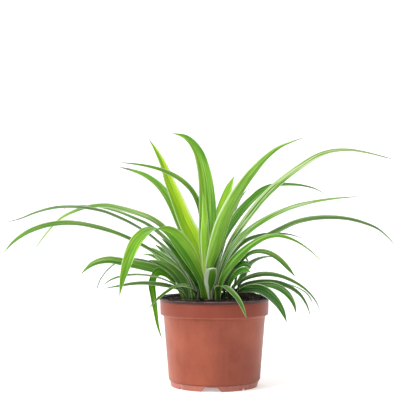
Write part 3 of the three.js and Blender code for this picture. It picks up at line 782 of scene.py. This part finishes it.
def crumb_tree():
    """Scatters crumbs over upward faces: lumps of peat and slim bits of bark."""
    net, given, out = new_group(
        "Scattered crumbs",
        "GeometryNodeTree",
        {
            "Ground": "Geometry", "Density": 1000.0, "Crumb size": 0.001, "Reach": 0.05,
            "Lowest": 0.0, "Seed": 0, "Material": "Material",
        },
        {"Crumbs": "Geometry"},
    )
    place = net.out("GeometryNodeInputPosition")
    upward = net.math("GREATER_THAN", net.split(net.out("GeometryNodeInputNormal"))[2], 0.55)
    near = net.math("LESS_THAN", net.off_axis(place), given["Reach"])
    high = net.math("GREATER_THAN", net.split(place)[2], given["Lowest"])
    scatter = net.out(
        "GeometryNodeDistributePointsOnFaces",
        {
            "Mesh": given["Ground"], "Selection": upward * (near * high),
            "Density": given["Density"], "Seed": given["Seed"],
        },
        "Points", distribute_method="RANDOM",
    )

    def chance(low, high, draw, kind="FLOAT"):
        """A random value for each crumb, each draw with a seed and each kind with sockets of its own."""
        first, which = {"FLOAT": (2, 1), "FLOAT_VECTOR": (0, 0), "INT": (4, 2)}[kind]
        inputs = {first: low, first + 1: high, "Seed": given["Seed"] + float(draw)}
        return net.out("FunctionNodeRandomValue", inputs, which, data_type=kind)

    def crumb(subdivisions, stretch, rough, shift):
        """One kind of crumb: a ball stretched and pushed about by noise taken at its own place."""
        ball = net.out(
            "GeometryNodeMeshIcoSphere", {"Radius": 0.5, "Subdivisions": subdivisions}, "Mesh"
        )
        here = net.out("GeometryNodeInputPosition")
        lumps = net.noise(here + (float(shift), 0.0, 0.0), 1.7, 1.0, which=1)
        push = (lumps - (0.5, 0.5, 0.5)) * rough
        shaped = net.out("GeometryNodeSetPosition", {"Geometry": ball, "Offset": push})
        return net.out("GeometryNodeTransform", {"Geometry": shaped, "Scale": stretch})

    kinds = net.add("GeometryNodeGeometryToInstance")
    # Two lumps of peat, a bit of bark and a fibre.
    for shape in (
        (1, (1.0, 0.85, 0.7), 0.9, 3),
        (2, (1.15, 1.0, 0.8), 1.1, 11),
        (1, (0.55, 1.7, 0.45), 0.7, 23),
        (1, (0.3, 2.6, 0.28), 0.5, 31),
    ):
        net.feed(kinds.inputs[0], crumb(*shape))
    # Small crumbs are common and big ones rare.
    spread = net.math("POWER", chance(0.0, 1.0, 5), 3.0)
    size = net.ramp(spread, 0.0, 1.0, 0.45, 1.75, soft=False) * given["Crumb size"]
    put = net.out(
        "GeometryNodeInstanceOnPoints",
        {
            "Points": scatter, "Instance": Field(net, kinds.outputs[0]),
            "Pick Instance": True, "Instance Index": chance(0, 3, 29, "INT"),
            "Rotation": chance((0.0, 0.0, 0.0), (0.9, 0.9, 6.283), 17, "FLOAT_VECTOR"),
            "Scale": size,
        },
    )
    return end_tree(net, given, out, "Crumbs", put)


def socket_id(tree, name):
    return next(
        item.identifier for item in tree.interface.items_tree
        if item.item_type == "SOCKET" and item.in_out == "INPUT" and item.name == name
    )


def run_tree(thing, tree, values):
    """Puts a node tree on an object, sets its inputs and keeps the result as a plain mesh."""
    modifier = thing.modifiers.new(tree.name, "NODES")
    modifier.node_group = tree
    for name, value in values.items():
        modifier[socket_id(tree, name)] = value
    return apply_modifiers(thing)


class PLANT_OT_crumbs(bpy.types.Operator):
    """Scatters crumbs of peat and bark over the soil and between the leaf bases"""

    bl_idname = "plant.crumbs"
    bl_label = "Crumbs"

    def execute(self, context):
        s = context.scene.plant_soil
        ground = bmesh.new()
        for thing in bpy.data.objects:
            if thing.name.startswith(("potting", "rootstock")):
                ground.from_mesh(thing.data)
        crumbs = run_tree(
            put_object("soil_crumbs", mesh_of(ground, "soil_crumbs")),
            crumb_tree(),
            {
                "Density": s.crumb_density, "Crumb size": s.crumb, "Reach": s.crumb_reach,
                "Lowest": s.lumpy_above, "Seed": s.seed,
                "Material": bpy.data.materials["Potting soil"],
            },
        )
        check_made(crumbs, 1000)
        smooth(crumbs.data, 60)
        finish_piece(crumbs)
        return {"FINISHED"}


# Leaves

# For each leaf: the tone of its first and second half (0 dark green, 1 yellow green), the width of
# its cream margins in mm, the length of its dried tip in mm, how grey it is and how strongly a pale
# stripe runs down its middle. The first half is the left one, or the upper one of a level leaf.
LOOKS = {
    "main_tall": (0.70, 0.40, 1.7, 9, 0.15, 0.16),
    "main_young": (0.60, 0.64, 1.9, 2, 0.0, 0.4),
    "main_big_right": (0.62, 0.54, 2.2, 14, 0.2, 0.2),
    # The front bend's first half is dark near its base, painted shade of the half turned from the light.
    "main_front_bend": (0.20, 0.60, 1.1, 3, 0.1, 0.1),
    "main_long_right": (0.38, 0.32, 2.2, 30, 0.15, 1.1),
    "main_right_thin": (0.40, 0.36, 1.2, 25, 0.1, 0.9),
    "main_low_right_arch": (0.36, 0.32, 1.2, 8, 0.5, 0.2),
    "main_broad_right": (0.34, 0.40, 0.8, 4, 0.0, 0.25),
    "main_left_dark": (0.28, 0.20, 0.5, 4, 0.0, 0.0),
    "main_front_short": (0.42, 0.38, 5.6, 1, 0.1, 0.0),
    "main_front_small": (0.30, 0.24, 1.9, 4, 0.25, 0.5),
    "left_long_arch": (0.46, 0.38, 1.5, 6, 0.35, 0.4),
    "left_long_level": (0.34, 0.28, 1.2, 20, 0.5, 0.4),
    "left_dark_upper": (0.44, 0.32, 1.6, 5, 0.25, 0.55),
    "left_dark_middle": (0.52, 0.42, 1.7, 5, 0.3, 0.6),
    "left_dark_lower": (0.50, 0.36, 1.2, 5, 0.2, 0.5),
    "left_broad_flat": (0.50, 0.42, 1.0, 4, 0.3, 0.4),
    "left_thin_drop": (0.20, 0.16, 0.5, 24, 0.6, 0.0),
    "left_thin_upper": (0.34, 0.26, 1.6, 14, 0.5, 0.6),
    "left_thin_lower": (0.34, 0.26, 1.6, 14, 0.4, 0.6),
    "left_hanging": (0.40, 0.34, 0.4, 3, 0.0, 0.0),
    "left_front_small": (0.36, 0.28, 1.7, 4, 0.0, 0.5),
    "left_inner_back": (0.18, 0.12, 1.0, 5, 0.1, 0.3),
    "left_inner_front": (0.16, 0.10, 1.5, 4, 0.15, 0.6),
    "left_inner_upper": (0.16, 0.10, 1.4, 4, 0.15, 0.5),
    "left_base_back": (0.04, 0.02, 0.5, 3, 0.0, 0.0),
    "rear_broad_yellow": (0.78, 0.84, 2.2, 9, 0.0, 0.1),
    "rear_upper_left": (0.58, 0.50, 1.6, 18, 0.2, 0.3),
    "rear_upper_left_back": (0.56, 0.50, 1.3, 20, 0.2, 0.3),
    "rear_short_blunt": (0.66, 0.58, 0.9, 1, 0.0, 0.0),
    "rear_grey_tip": (0.28, 0.24, 0.8, 12, 0.5, 0.1),
    "rear_back_low": (0.04, 0.02, 0.5, 3, 0.0, 0.0),
    "rear_back_far_left": (0.04, 0.02, 0.4, 4, 0.0, 0.0),
    "rear_dark_right": (0.38, 0.30, 1.2, 4, 0.1, 0.3),
    "rear_right_level": (0.30, 0.24, 1.0, 22, 0.4, 0.3),
    "rear_left_arch": (0.56, 0.50, 1.8, 8, 0.45, 0.8),
    "rear_left_top_arch": (0.44, 0.38, 1.5, 20, 0.5, 0.5),
    "right_upper": (0.36, 0.24, 1.3, 3, 0.3, 0.2),
    "right_thin": (0.30, 0.26, 1.0, 22, 0.4, 0.3),
    "right_inner_dark": (0.08, 0.05, 0.4, 4, 0.0, 0.1),
    "right_inner_pale": (0.14, 0.10, 0.6, 4, 0.0, 0.0),
    "right_base_dark": (0.04, 0.03, 0.7, 4, 0.0, 0.1),
    "right_long_droop": (0.32, 0.22, 1.4, 7, 0.45, 0.4),
    "right_back_droop": (0.22, 0.16, 1.2, 8, 0.35, 0.3),
    "right_front_droop": (0.16, 0.10, 1.1, 6, 0.2, 0.3),
    "right_low_droop": (0.10, 0.06, 0.9, 6, 0.15, 0.2),
    "right_far_droop": (0.26, 0.22, 0.7, 16, 0.5, 0.2),
}
# The tones of a leaf that has no line above, by its age. What else it needs is drawn at random.
USUAL = {"young": (0.62, 0.66), "middle": (0.44, 0.40), "old": (0.20, 0.17)}
# Where a half changes tone from base to tip, or the second margin is wider or narrower: how much
# lighter the first and second half are at the tip, and the second margin as a share of the first.
DRIFTS = {
    "main_tall": (-0.10, 0.10, 0.5),
    # The front bend's first half lightens towards the tip from its painted shade at the base.
    "main_front_bend": (0.44, -0.08, 0.8),
    "main_long_right": (0.26, 0.24, 1.0),
    "main_right_thin": (0.26, 0.22, 1.0),
    "main_big_right": (-0.08, -0.08, 0.6),
    "main_low_right_arch": (0.05, 0.08, 1.0),
    "main_front_short": (0.0, 0.0, 0.42),
    "rear_broad_yellow": (0.0, 0.0, 1.5),
    "right_upper": (0.04, -0.04, 0.6),
    "main_broad_right": (0.16, 0.08, 1.0),
}
# The narrowest leaves have margins up to this far outside their solids, in mm.
WIDER = {"left_thin_drop": 1.0, "right_far_droop": 0.8}


def middle(vertices):
    return sum((v.co for v in vertices), Vector((0, 0, 0))) / len(vertices)


def margin_edges(ring):
    """The two edges of a ring that run through the thickness at the blade's margins."""
    edges = [e for v in ring for e in v.link_edges if e.verts[0] == v and e.verts[1] in ring]
    pairs = [tuple(e.verts) for e in sorted(edges, key=lambda e: e.calc_length())]
    first = pairs[0]
    apart = [p for p in pairs[1:] if not set(p) & set(first)]
    if len(pairs) == len(ring):
        return first, apart[0]
    # The base is closed by faces, with a short edge at the midrib too, which is nearer.
    short = [p for p in apart if p in pairs[1:4]]
    return first, max(short, key=lambda p: (middle(p) - middle(first)).length)


def leaf_rails(node):
    """The two margins and the midrib of a leaf of the frame, as points from its base to its tip.

    The rings of the solid have six corners each and end in a single point. The first ring, cut off
    level in the rootstock, is the lowest one with all corners at one height. The rails run down
    the middle of the thickness, ordered so that first to second, seen along the blade, has the
    upper side of the leaf on top."""
    work = merged(NODES[node].data)
    level = 0.003 * MM
    heights = sorted(v.co.z for v in work.verts)
    base = next(low for low, high in zip(heights, heights[5:]) if high - low < level)
    ring = {v for v in work.verts if 0 <= v.co.z - base < level}
    seen, rings = set(), []
    while ring:
        rings.append(ring)
        seen |= ring
        ring = {e.other_vert(v) for v in ring for e in v.link_edges} - seen
    if [len(r) for r in rings] != [6] * (len(rings) - 1) + [1]:
        raise RuntimeError(f"{node} isn't a blade: {[len(r) for r in rings]}")
    ends, mids = [], []
    for ring in rings[:-1]:
        first, second = margin_edges(ring)
        ends.append([middle(first), middle(second)])
        mids.append(middle(ring.difference(first, second)))
    tip = middle(rings[-1])
    work.free()
    for before, now in zip(ends, ends[1:]):
        straight = (now[0] - before[0]).length + (now[1] - before[1]).length
        crossed = (now[1] - before[0]).length + (now[0] - before[1]).length
        if crossed < straight:
            now.reverse()
    vote = 0.0
    for i in range(1, len(mids) - 1):
        along = mids[i + 1] - mids[i - 1]
        rise = (ends[i][0] + ends[i][1]) / 2 - mids[i]
        vote += rise.dot((ends[i][1] - ends[i][0]).cross(along))
    if vote < 0:
        for pair in ends:
            pair.reverse()
    firsts, seconds = zip(*ends)
    return [np.array([*rail, tip], float) for rail in (firsts, mids, seconds)]


def blade_tree():
    """A leaf blade along three rails: smooth, channelled, waved at its margins and closed."""
    net, given, out = new_group(
        "Leaf blade",
        "GeometryNodeTree",
        {
            "Rails": "Geometry", "Steps": 4, "Columns": 11, "Thickness": 0.0006,
            "Roundness": 0.5, "Wave height": 0.0003, "Wave length": 0.025, "Leaf length": 0.2,
            "Tones": "Vector", "Wear": "Vector", "Drift": "Vector", "Seed": 0.0,
            "Material": "Material",
        },
        {"Blade": "Geometry"},
    )
    curves = net.out(
        "GeometryNodeCurveSplineType", {"Curve": given["Rails"]}, spline_type="CATMULL_ROM"
    )
    curves = net.out(
        "GeometryNodeSetSplineResolution", {"Geometry": curves, "Resolution": given["Steps"]}
    )
    points = net.out("GeometryNodeCurveToPoints", {"Curve": curves}, "Points", mode="EVALUATED")
    total = net.out(
        "GeometryNodeAttributeDomainSize", {0: points}, "Point Count", component="POINTCLOUD"
    )
    rows = net.math("ROUND", total / 3.0)
    sheet = net.out(
        "GeometryNodeMeshGrid",
        {"Size X": 1.0, "Size Y": 1.0, "Vertices X": given["Columns"], "Vertices Y": rows},
        "Mesh",
    )
    place = net.out("GeometryNodeInputPosition")
    x, y, _ = net.split(place)
    last_row = rows - 1.0
    up = y + 0.5
    row = net.math("ROUND", up * last_row)
    # Columns stand closer together towards the margins.
    flat = x * 2.0
    side = flat * (1.5 - flat * flat * 0.5)
    away = abs(side)

    def keep(geometry, label, value, sort="FLOAT_VECTOR", domain="POINT"):
        return net.out(
            "GeometryNodeStoreNamedAttribute",
            {"Geometry": geometry, "Name": label, "Value": value},
            data_type=sort, domain=domain,
        )

    def kept(label):
        return net.out("GeometryNodeInputNamedAttribute", {"Name": label}, data_type="FLOAT")

    def moved(geometry, offset):
        return net.out("GeometryNodeSetPosition", {"Geometry": geometry, "Offset": offset})

    def rail(index):
        return net.out(
            "GeometryNodeSampleIndex",
            {"Geometry": points, "Value": place, "Index": row + rows * float(index)},
            data_type="FLOAT_VECTOR", domain="POINT",
        )

    first, rib, second = rail(0), rail(1), rail(2)
    half = (second - first) * 0.5
    sink = (first + second) * 0.5 - rib
    bowl = net.mix(given["Roundness"], away, side * side)
    spot = rib + sink * bowl + half * side
    half_width = net.vector("LENGTH", half)
    long = given["Leaf length"]
    to_mm = 1 / MM
    not_ends = net.math("GREATER_THAN", row, 0.5) * net.math("LESS_THAN", row, last_row - 0.5)
    inner = net.math("SQRT", net.math("MAXIMUM", 0.0, 1.0 - side * side))
    thick = net.math("MINIMUM", given["Thickness"], half_width * 0.5)
    wave_place = net.combine(
        given["Seed"] + net.math("SIGN", side) * 5.0, up * long / given["Wave length"]
    )
    ripple = (net.noise(wave_place, 1.0, 1.0) - 0.5) * given["Wave height"]
    calm = net.math("SINE", up * math.pi)
    # The fields are kept on the sheet before its points move.
    blade = net.combine(
        side * half_width * to_mm, (1.0 - away) * half_width * to_mm, (1.0 - up) * long * to_mm
    )
    sheet = keep(sheet, "blade", blade)
    for label, value in (
        ("swell", inner * thick * (not_ends * 0.5)),
        ("wave", ripple * (side * side * calm * 4.0)),
        ("root", up * long * to_mm),
    ):
        sheet = keep(sheet, label, value, "FLOAT")
    sheet = keep(sheet, "UVMap", net.combine(x + 0.5, up), "FLOAT2", "CORNER")
    sheet = net.out("GeometryNodeSetPosition", {"Geometry": sheet, "Position": spot})
    normal = net.out("GeometryNodeInputNormal")
    sheet = moved(sheet, normal * kept("wave"))
    both = net.add("GeometryNodeJoinGeometry")
    for push, upper in ((-1.0, 0.0), (1.0, 1.0)):
        skin = moved(sheet, normal * (kept("swell") * push))
        if not upper:
            skin = net.out("GeometryNodeFlipFaces", {"Mesh": skin})
        skin = keep(skin, "sort", net.combine(upper, given["Seed"], kept("root")))
        net.feed(both.inputs[0], skin)
    whole = net.out(
        "GeometryNodeMergeByDistance",
        {"Geometry": Field(net, both.outputs[0]), "Distance": 2 * MERGED},
    )
    for label in ("Tones", "Wear", "Drift"):
        whole = keep(whole, label.lower(), given[label])
    for label in ("swell", "wave", "root"):
        whole = net.out("GeometryNodeRemoveAttribute", {"Geometry": whole, "Name": label})
    whole = net.out("GeometryNodeSetShadeSmooth", {"Geometry": whole})
    return end_tree(net, given, out, "Blade", whole)


def leaf_pattern_group():
    """Colour, height and roughness of a variegated leaf, read from what the blade tree keeps."""
    leaf = bpy.context.scene.plant_leaf
    net, given, out = new_group(
        "Leaf pattern",
        "ShaderNodeTree",
        {
            "Vein contrast": 0.14, "Band contrast": 0.4, "Patch contrast": 0.14,
            "Root paleness": 0.2, "Margin softness": 0.3, "Margin share": 0.3,
            "Margin whiteness": 0.0,
        },
        {"Colour": "Color", "Height": "Float", "Roughness": "Float"},
    )

    def read(label):
        return net.split(net.out("ShaderNodeAttribute", which="Vector", attribute_name=label))

    # Lengths are in mm: across the blade from its midrib, in from its edge, back from its tip and
    # on from its root.
    across, edge, tip = read("blade")
    upper, seed, root = read("sort")
    first, second, margin = read("tones")
    dry, grey, stripe = read("wear")
    first_lift, second_lift, second_margin = read("drift")

    def lines(width, stretch, shift):
        """Noise drawn out along the blade."""
        spot = net.combine(across / width, tip / stretch, seed * 3.7 + shift)
        return net.noise(spot, 1.0, 2.0, 0.55)

    veins = lines(0.42, 26.0, 0.0)
    bands = lines(1.9, 60.0, 9.0)
    patches = lines(9.0, 22.0, 17.0)
    which = net.ramp(across, -0.35, 0.35)
    # How far along the blade: 0 at its base, 1 at its tip.
    along = root / (root + tip)
    lift = net.mix(which, first_lift, second_lift) * net.ramp(along, 0.1, 0.9)
    tone = net.mix(which, first, second) + lift
    for source, label in ((veins, "Vein"), (bands, "Band"), (patches, "Patch")):
        tone = tone + (source - 0.5) * given[f"{label} contrast"]
    # Near the root young leaves grow paler, while grown and outer leaves get darker there, painted shade
    # among the crowded bases.
    tone = tone + net.ramp(root, 4.0, 45.0, 1.0, 0.0) * given["Root paleness"]
    # The underside is paler and duller.
    under = (1.0 - upper) * 0.15
    pale = net.blend(given["Margin whiteness"], leaf.margin, leaf.white_margin)
    # A strong stripe is also a broad one.
    broken = net.ramp(bands + stripe * 0.09, 0.54, 0.7)
    stripes = stripe * broken * net.ramp(edge, 0.8, 2.5) * net.ramp(root, 8.0, 40.0, 0.3, 0.8)
    # Along the margins the cream narrows towards the tip and frays into the green.
    reach = margin * net.ramp(tip, 4.0, 60.0, 0.55, 1.0) * net.mix(which, 1.0, second_margin)
    reach = reach * net.ramp(bands, 0.3, 0.7, 0.5, 1.5, soft=False)
    # A leaf with very broad margins is cream over most of its half, with a sharper line.
    broad = net.ramp(margin * net.math("MAXIMUM", 1.0, second_margin), 2.5, 5.5)
    reach = reach * net.mix(broad, net.ramp(root, 5.0, 70.0, 0.5, 1.0), 1.0)
    most = (edge + abs(across)) * (given["Margin share"] * net.mix(broad, 1.0, 2.1))
    reach = net.math("MINIMUM", reach, most)
    softness = net.mix(broad, given["Margin softness"], 0.3)
    cream = net.ramp(edge, reach * (1.0 - softness), reach, 1.0, 0.0)
    # The fold along the midrib holds a thin deeper line.
    fold = net.ramp(abs(across), 0.1, 0.65, 1.0, 0.0)
    body = net.layers(
        leaf.deep,
        (net.ramp(tone, 0.0, 0.36, soft=False), leaf.green),
        (net.ramp(tone, 0.36, 0.7, soft=False), leaf.light),
        (net.ramp(tone, 0.7, 1.0, soft=False), leaf.yellow),
        (under, (0.19, 0.42, 0.03)),
        (stripes, pale),
        (cream * 0.9, pale),
        (fold * net.mix(upper, 0.15, 0.55), leaf.green),
    )
    dull = net.blend(0.5, body, (0.22, 0.24, 0.19))
    fray = dry * net.ramp(veins, 0.3, 0.7, 0.6, 1.4, soft=False)
    brown = net.ramp(tip, fray * 0.45, fray, 1.0, 0.0)
    net.fill(out, {
        "Colour": net.layers(body, (grey, dull), (brown * 0.92, leaf.dry)),
        "Height": veins + bands * 0.8 - fold * 0.6,
        "Roughness": net.mix(upper, 0.56, 0.40) + (veins - 0.5) * 0.2 + brown * 0.3,
    })
    return net.tree


def paint_leaf(vein_contrast, patch_contrast, root_paleness, margin_share, whiteness, gloss):
    def paint(net):
        look = net.use(
            bpy.data.node_groups.get("Leaf pattern") or leaf_pattern_group(),
            {
                "Vein contrast": vein_contrast, "Band contrast": 2.5 * vein_contrast,
                "Patch contrast": patch_contrast, "Root paleness": root_paleness,
                "Margin softness": 0.85, "Margin share": margin_share,
                "Margin whiteness": whiteness,
            },
        )
        return {
            "Base Color": look["Colour"],
            "Roughness": look["Roughness"],
            "Normal": net.bump(look["Height"], strength=0.45, depth=0.22),
            "Specular IOR Level": gloss,
        }

    return paint


# A negative root paleness is painted shade at the leaf bases.
LEAF_PAINTS = {
    "young": ("Young leaf", paint_leaf(0.36, 0.16, 0.16, 0.34, 0.0, 0.07)),
    "middle": ("Grown leaf", paint_leaf(0.32, 0.20, -0.08, 0.38, 0.3, 0.09)),
    "old": ("Outer leaf", paint_leaf(0.28, 0.20, -0.16, 0.46, 0.9, 0.14)),
}


def leaf_material(age):
    name, paint = LEAF_PAINTS[age]
    return bpy.data.materials.get(name) or new_material(name, paint)


def widened(rails, most):
    """Moves the margins outwards by most, or by half the blade's width where that is less."""
    for rail in (rails[0], rails[2]):
        out = rail - rails[1]
        half = np.linalg.norm(out, axis=1, keepdims=True)
        rail += out / np.maximum(half, MERGED) * np.minimum(half, most)


def rails_object(name, rails):
    curve = bpy.data.curves.new(name, "CURVE")
    curve.dimensions = "3D"
    for rail in rails:
        spline = curve.splines.new("POLY")
        spline.points.add(len(rail) - 1)
        for point, co in zip(spline.points, rail):
            point.co = (*co, 1.0)
    return put_object(name, curve)


def first_half_is_first(rails):
    """Whether the rail that comes first is the left margin, or the upper one of a level leaf."""
    station = len(rails[1]) // 2
    apart = rails[2][station] - rails[0][station]
    if abs(apart[0]) >= abs(apart[2]):
        return apart[0] > 0
    return apart[2] < 0


def leaf_looks(label, age, luck):
    """What LOOKS says of a leaf, or the usual for its age."""
    if label in LOOKS:
        return LOOKS[label]
    drift = luck.uniform(-0.05, 0.05)
    a, b = USUAL[age]
    others = ((0.8, 1.3), (3, 8), (0.0, 0.2), (0.0, 0.3))
    return (a + drift, b + drift, *(luck.uniform(low, high) for low, high in others))


class PLANT_OT_rosette(bpy.types.Operator):
    """Grows the leaves of one rosette along the blades of the frame"""

    bl_idname = "plant.rosette"
    bl_label = "Rosette"

    name: EnumProperty(
        name="Rosette",
        description="Which rosette to grow",
        items=[(name, name.capitalize(), f"The {name} rosette") for name in ROSETTES],
    )

    def execute(self, context):
        leaf = context.scene.plant_leaf
        tree = bpy.data.node_groups.get("Leaf blade") or blade_tree()
        for node in sorted(n for n in NODES if n.startswith(f"leaf_{self.name}_")):
            label = node[len("leaf_"):]
            slot = NODES[node].material_slots[0].material.name.split(".")[0]
            age = slot[len("leaf_"):]
            luck = random.Random(label)
            rails = leaf_rails(node)
            for rail in rails:
                rail[0] += np.array([0, 0, -leaf.sunk])
            widened(rails, WIDER.get(label, 0.0) * MM)
            first, second, margin, dry, grey, stripe = leaf_looks(label, age, luck)
            first_lift, second_lift, second_margin = DRIFTS.get(label, (0.0, 0.0, 1.0))
            if not first_half_is_first(rails):
                first, second = second, first
                first_lift, second_lift = second_lift, first_lift
                margin, second_margin = margin * second_margin, 1 / second_margin
            run = np.linalg.norm(np.diff(rails[1], axis=0), axis=1).sum()
            blade = run_tree(
                rails_object(f"blade_{label}", rails),
                tree,
                {
                    "Steps": leaf.steps, "Columns": leaf.across, "Thickness": leaf.thickness,
                    "Roundness": leaf.roundness, "Wave height": leaf.wave,
                    "Wave length": leaf.wave_length, "Leaf length": float(run),
                    "Tones": (first, second, margin),
                    "Wear": (dry, grey, stripe),
                    "Drift": (first_lift, second_lift, second_margin),
                    "Seed": luck.uniform(0.0, 20.0),
                    "Material": leaf_material(age),
                },
            )
            check_made(blade, 100)
            finish_piece(blade, [node])
        return {"FINISHED"}


# Stage


def paint_floor(net):
    stage = bpy.context.scene.plant_stage
    faint = net.ramp(net.noise(net.place(), 3.0, 2.0), 0.3, 0.7, 0.0, 0.02)
    return {
        "Base Color": net.blend(faint, stage.floor, (0.9, 0.9, 0.9)),
        "Roughness": 1.0,
        "Specular IOR Level": 0.0,
        "Emission Color": (1.0, 1.0, 1.0, 1.0),
        "Emission Strength": stage.glow,
    }


def floor_sweep():
    """One sheet: a floor that sweeps up into a wall behind the plant, and wide on all sides."""
    front, bend, top, reach = -6.0, 3.0, 7.0, 8.0
    radius, steps = 1.5, 12
    profile = [(front, 0.0), (bend, 0.0)]
    for i in range(1, steps + 1):
        turn = math.pi / 2 * i / steps
        profile.append((bend + radius * math.sin(turn), radius - radius * math.cos(turn)))
    profile.append((bend + radius, top))
    vertices = [(side, y, z) for side in (-reach, reach) for y, z in profile]
    size = len(profile)
    faces = [(i, size + i, size + i + 1, i + 1) for i in range(size - 1)]
    sweep = mesh_object("floor_sweep", vertices, faces)
    sweep.data.shade_smooth()
    return sweep


def soft_light(name, place, target, size, watts):
    lamp = bpy.data.lights.new(name, "AREA")
    lamp.shape, lamp.size, lamp.energy = "DISK", size, watts
    thing = put_object(name, lamp)
    thing.location = place
    thing.rotation_euler = (Vector(target) - thing.location).to_track_quat("-Z", "Y").to_euler()


class PLANT_OT_stage(bpy.types.Operator):
    """Sets up the floor, the backdrop, the soft lights and the camera"""

    bl_idname = "plant.stage"
    bl_label = "Stage"

    def execute(self, context):
        st = context.scene.plant_stage
        sweep = floor_sweep()
        set_materials(sweep, new_material("Pale floor", paint_floor))

        world = bpy.data.worlds.new("Studio room")
        context.scene.world = world
        world.use_nodes = True
        back = next(n for n in world.node_tree.nodes if n.type == "BACKGROUND")
        # Past the sheet the camera sees a white room, while the plant is lit by a dimmer one.
        room = Net(world.node_tree)
        seen = room.out("ShaderNodeLightPath", which="Is Camera Ray")
        room.fill(back, {0: (1.0, 1.0, 1.0, 1.0), 1: room.mix(seen, st.sky, 1.0)})
        centre = (0, 0, 0.12)
        backdrop = (0.0, 3.1, 0.3)
        soft_light("key", (-1.45, -0.75, 1.1), centre, size=1.7, watts=st.key)
        soft_light("fill", (1.1, -0.9, 0.5), centre, size=0.9, watts=st.fill)
        soft_light("overhead", (0.0, 2.3, 2.6), backdrop, size=2.4, watts=st.overhead)

        lens = bpy.data.cameras.new("camera")
        lens.lens, lens.sensor_width, lens.sensor_fit = st.focal, 36.0, "HORIZONTAL"
        lens.clip_start, lens.clip_end = 0.01, 50.0
        camera = put_object("camera", lens)
        camera.location = st.eye
        camera.rotation_euler = (math.pi / 2, 0, 0)
        context.scene.camera = camera
        context.scene.view_settings.view_transform = "Standard"
        context.scene.view_settings.look = "None"
        return {"FINISHED"}


class PLANT_PT_panel(bpy.types.Panel):
    """Lists the steps that build the plant"""

    bl_label = "Spider plant"
    bl_idname = "PLANT_PT_panel"
    bl_space_type = "VIEW_3D"
    bl_region_type = "UI"
    bl_category = "Spider plant"

    def draw(self, context):
        for holder, steps in (
            (context.scene.plant_pot, (PLANT_OT_pot,)),
            (context.scene.plant_soil, (PLANT_OT_soil, PLANT_OT_rootstocks, PLANT_OT_crumbs)),
            (context.scene.plant_leaf, ()),
            (context.scene.plant_stage, (PLANT_OT_stage,)),
        ):
            box = self.layout.box()
            for name in holder.__annotations__:
                box.prop(holder, name)
            for step in steps:
                box.operator(step.bl_idname)
        row = self.layout.column()
        for name in ROSETTES:
            row.operator(PLANT_OT_rosette.bl_idname, text=f"Rosette, {name}").name = name


HOLDERS = {
    "plant_pot": PotSettings,
    "plant_soil": SoilSettings,
    "plant_leaf": LeafSettings,
    "plant_stage": StageSettings,
}
CLASSES = (
    *HOLDERS.values(), PLANT_OT_pot, PLANT_OT_soil, PLANT_OT_rootstocks, PLANT_OT_crumbs,
    PLANT_OT_rosette, PLANT_OT_stage, PLANT_PT_panel,
)


def register():
    for cls in CLASSES:
        bpy.utils.register_class(cls)
    for name, cls in HOLDERS.items():
        setattr(bpy.types.Scene, name, PointerProperty(type=cls))


def unregister():
    for name in HOLDERS:
        delattr(bpy.types.Scene, name)
    for cls in reversed(CLASSES):
        bpy.utils.unregister_class(cls)


def main():
    register()
    bpy.ops.plant.stage()
    bpy.ops.plant.pot()
    bpy.ops.plant.soil()
    bpy.ops.plant.rootstocks()
    bpy.ops.plant.crumbs()
    for name in ROSETTES:
        bpy.ops.plant.rosette(name=name)
    bpy.context.view_layer.update()


if __name__ == "__main__":
    main()
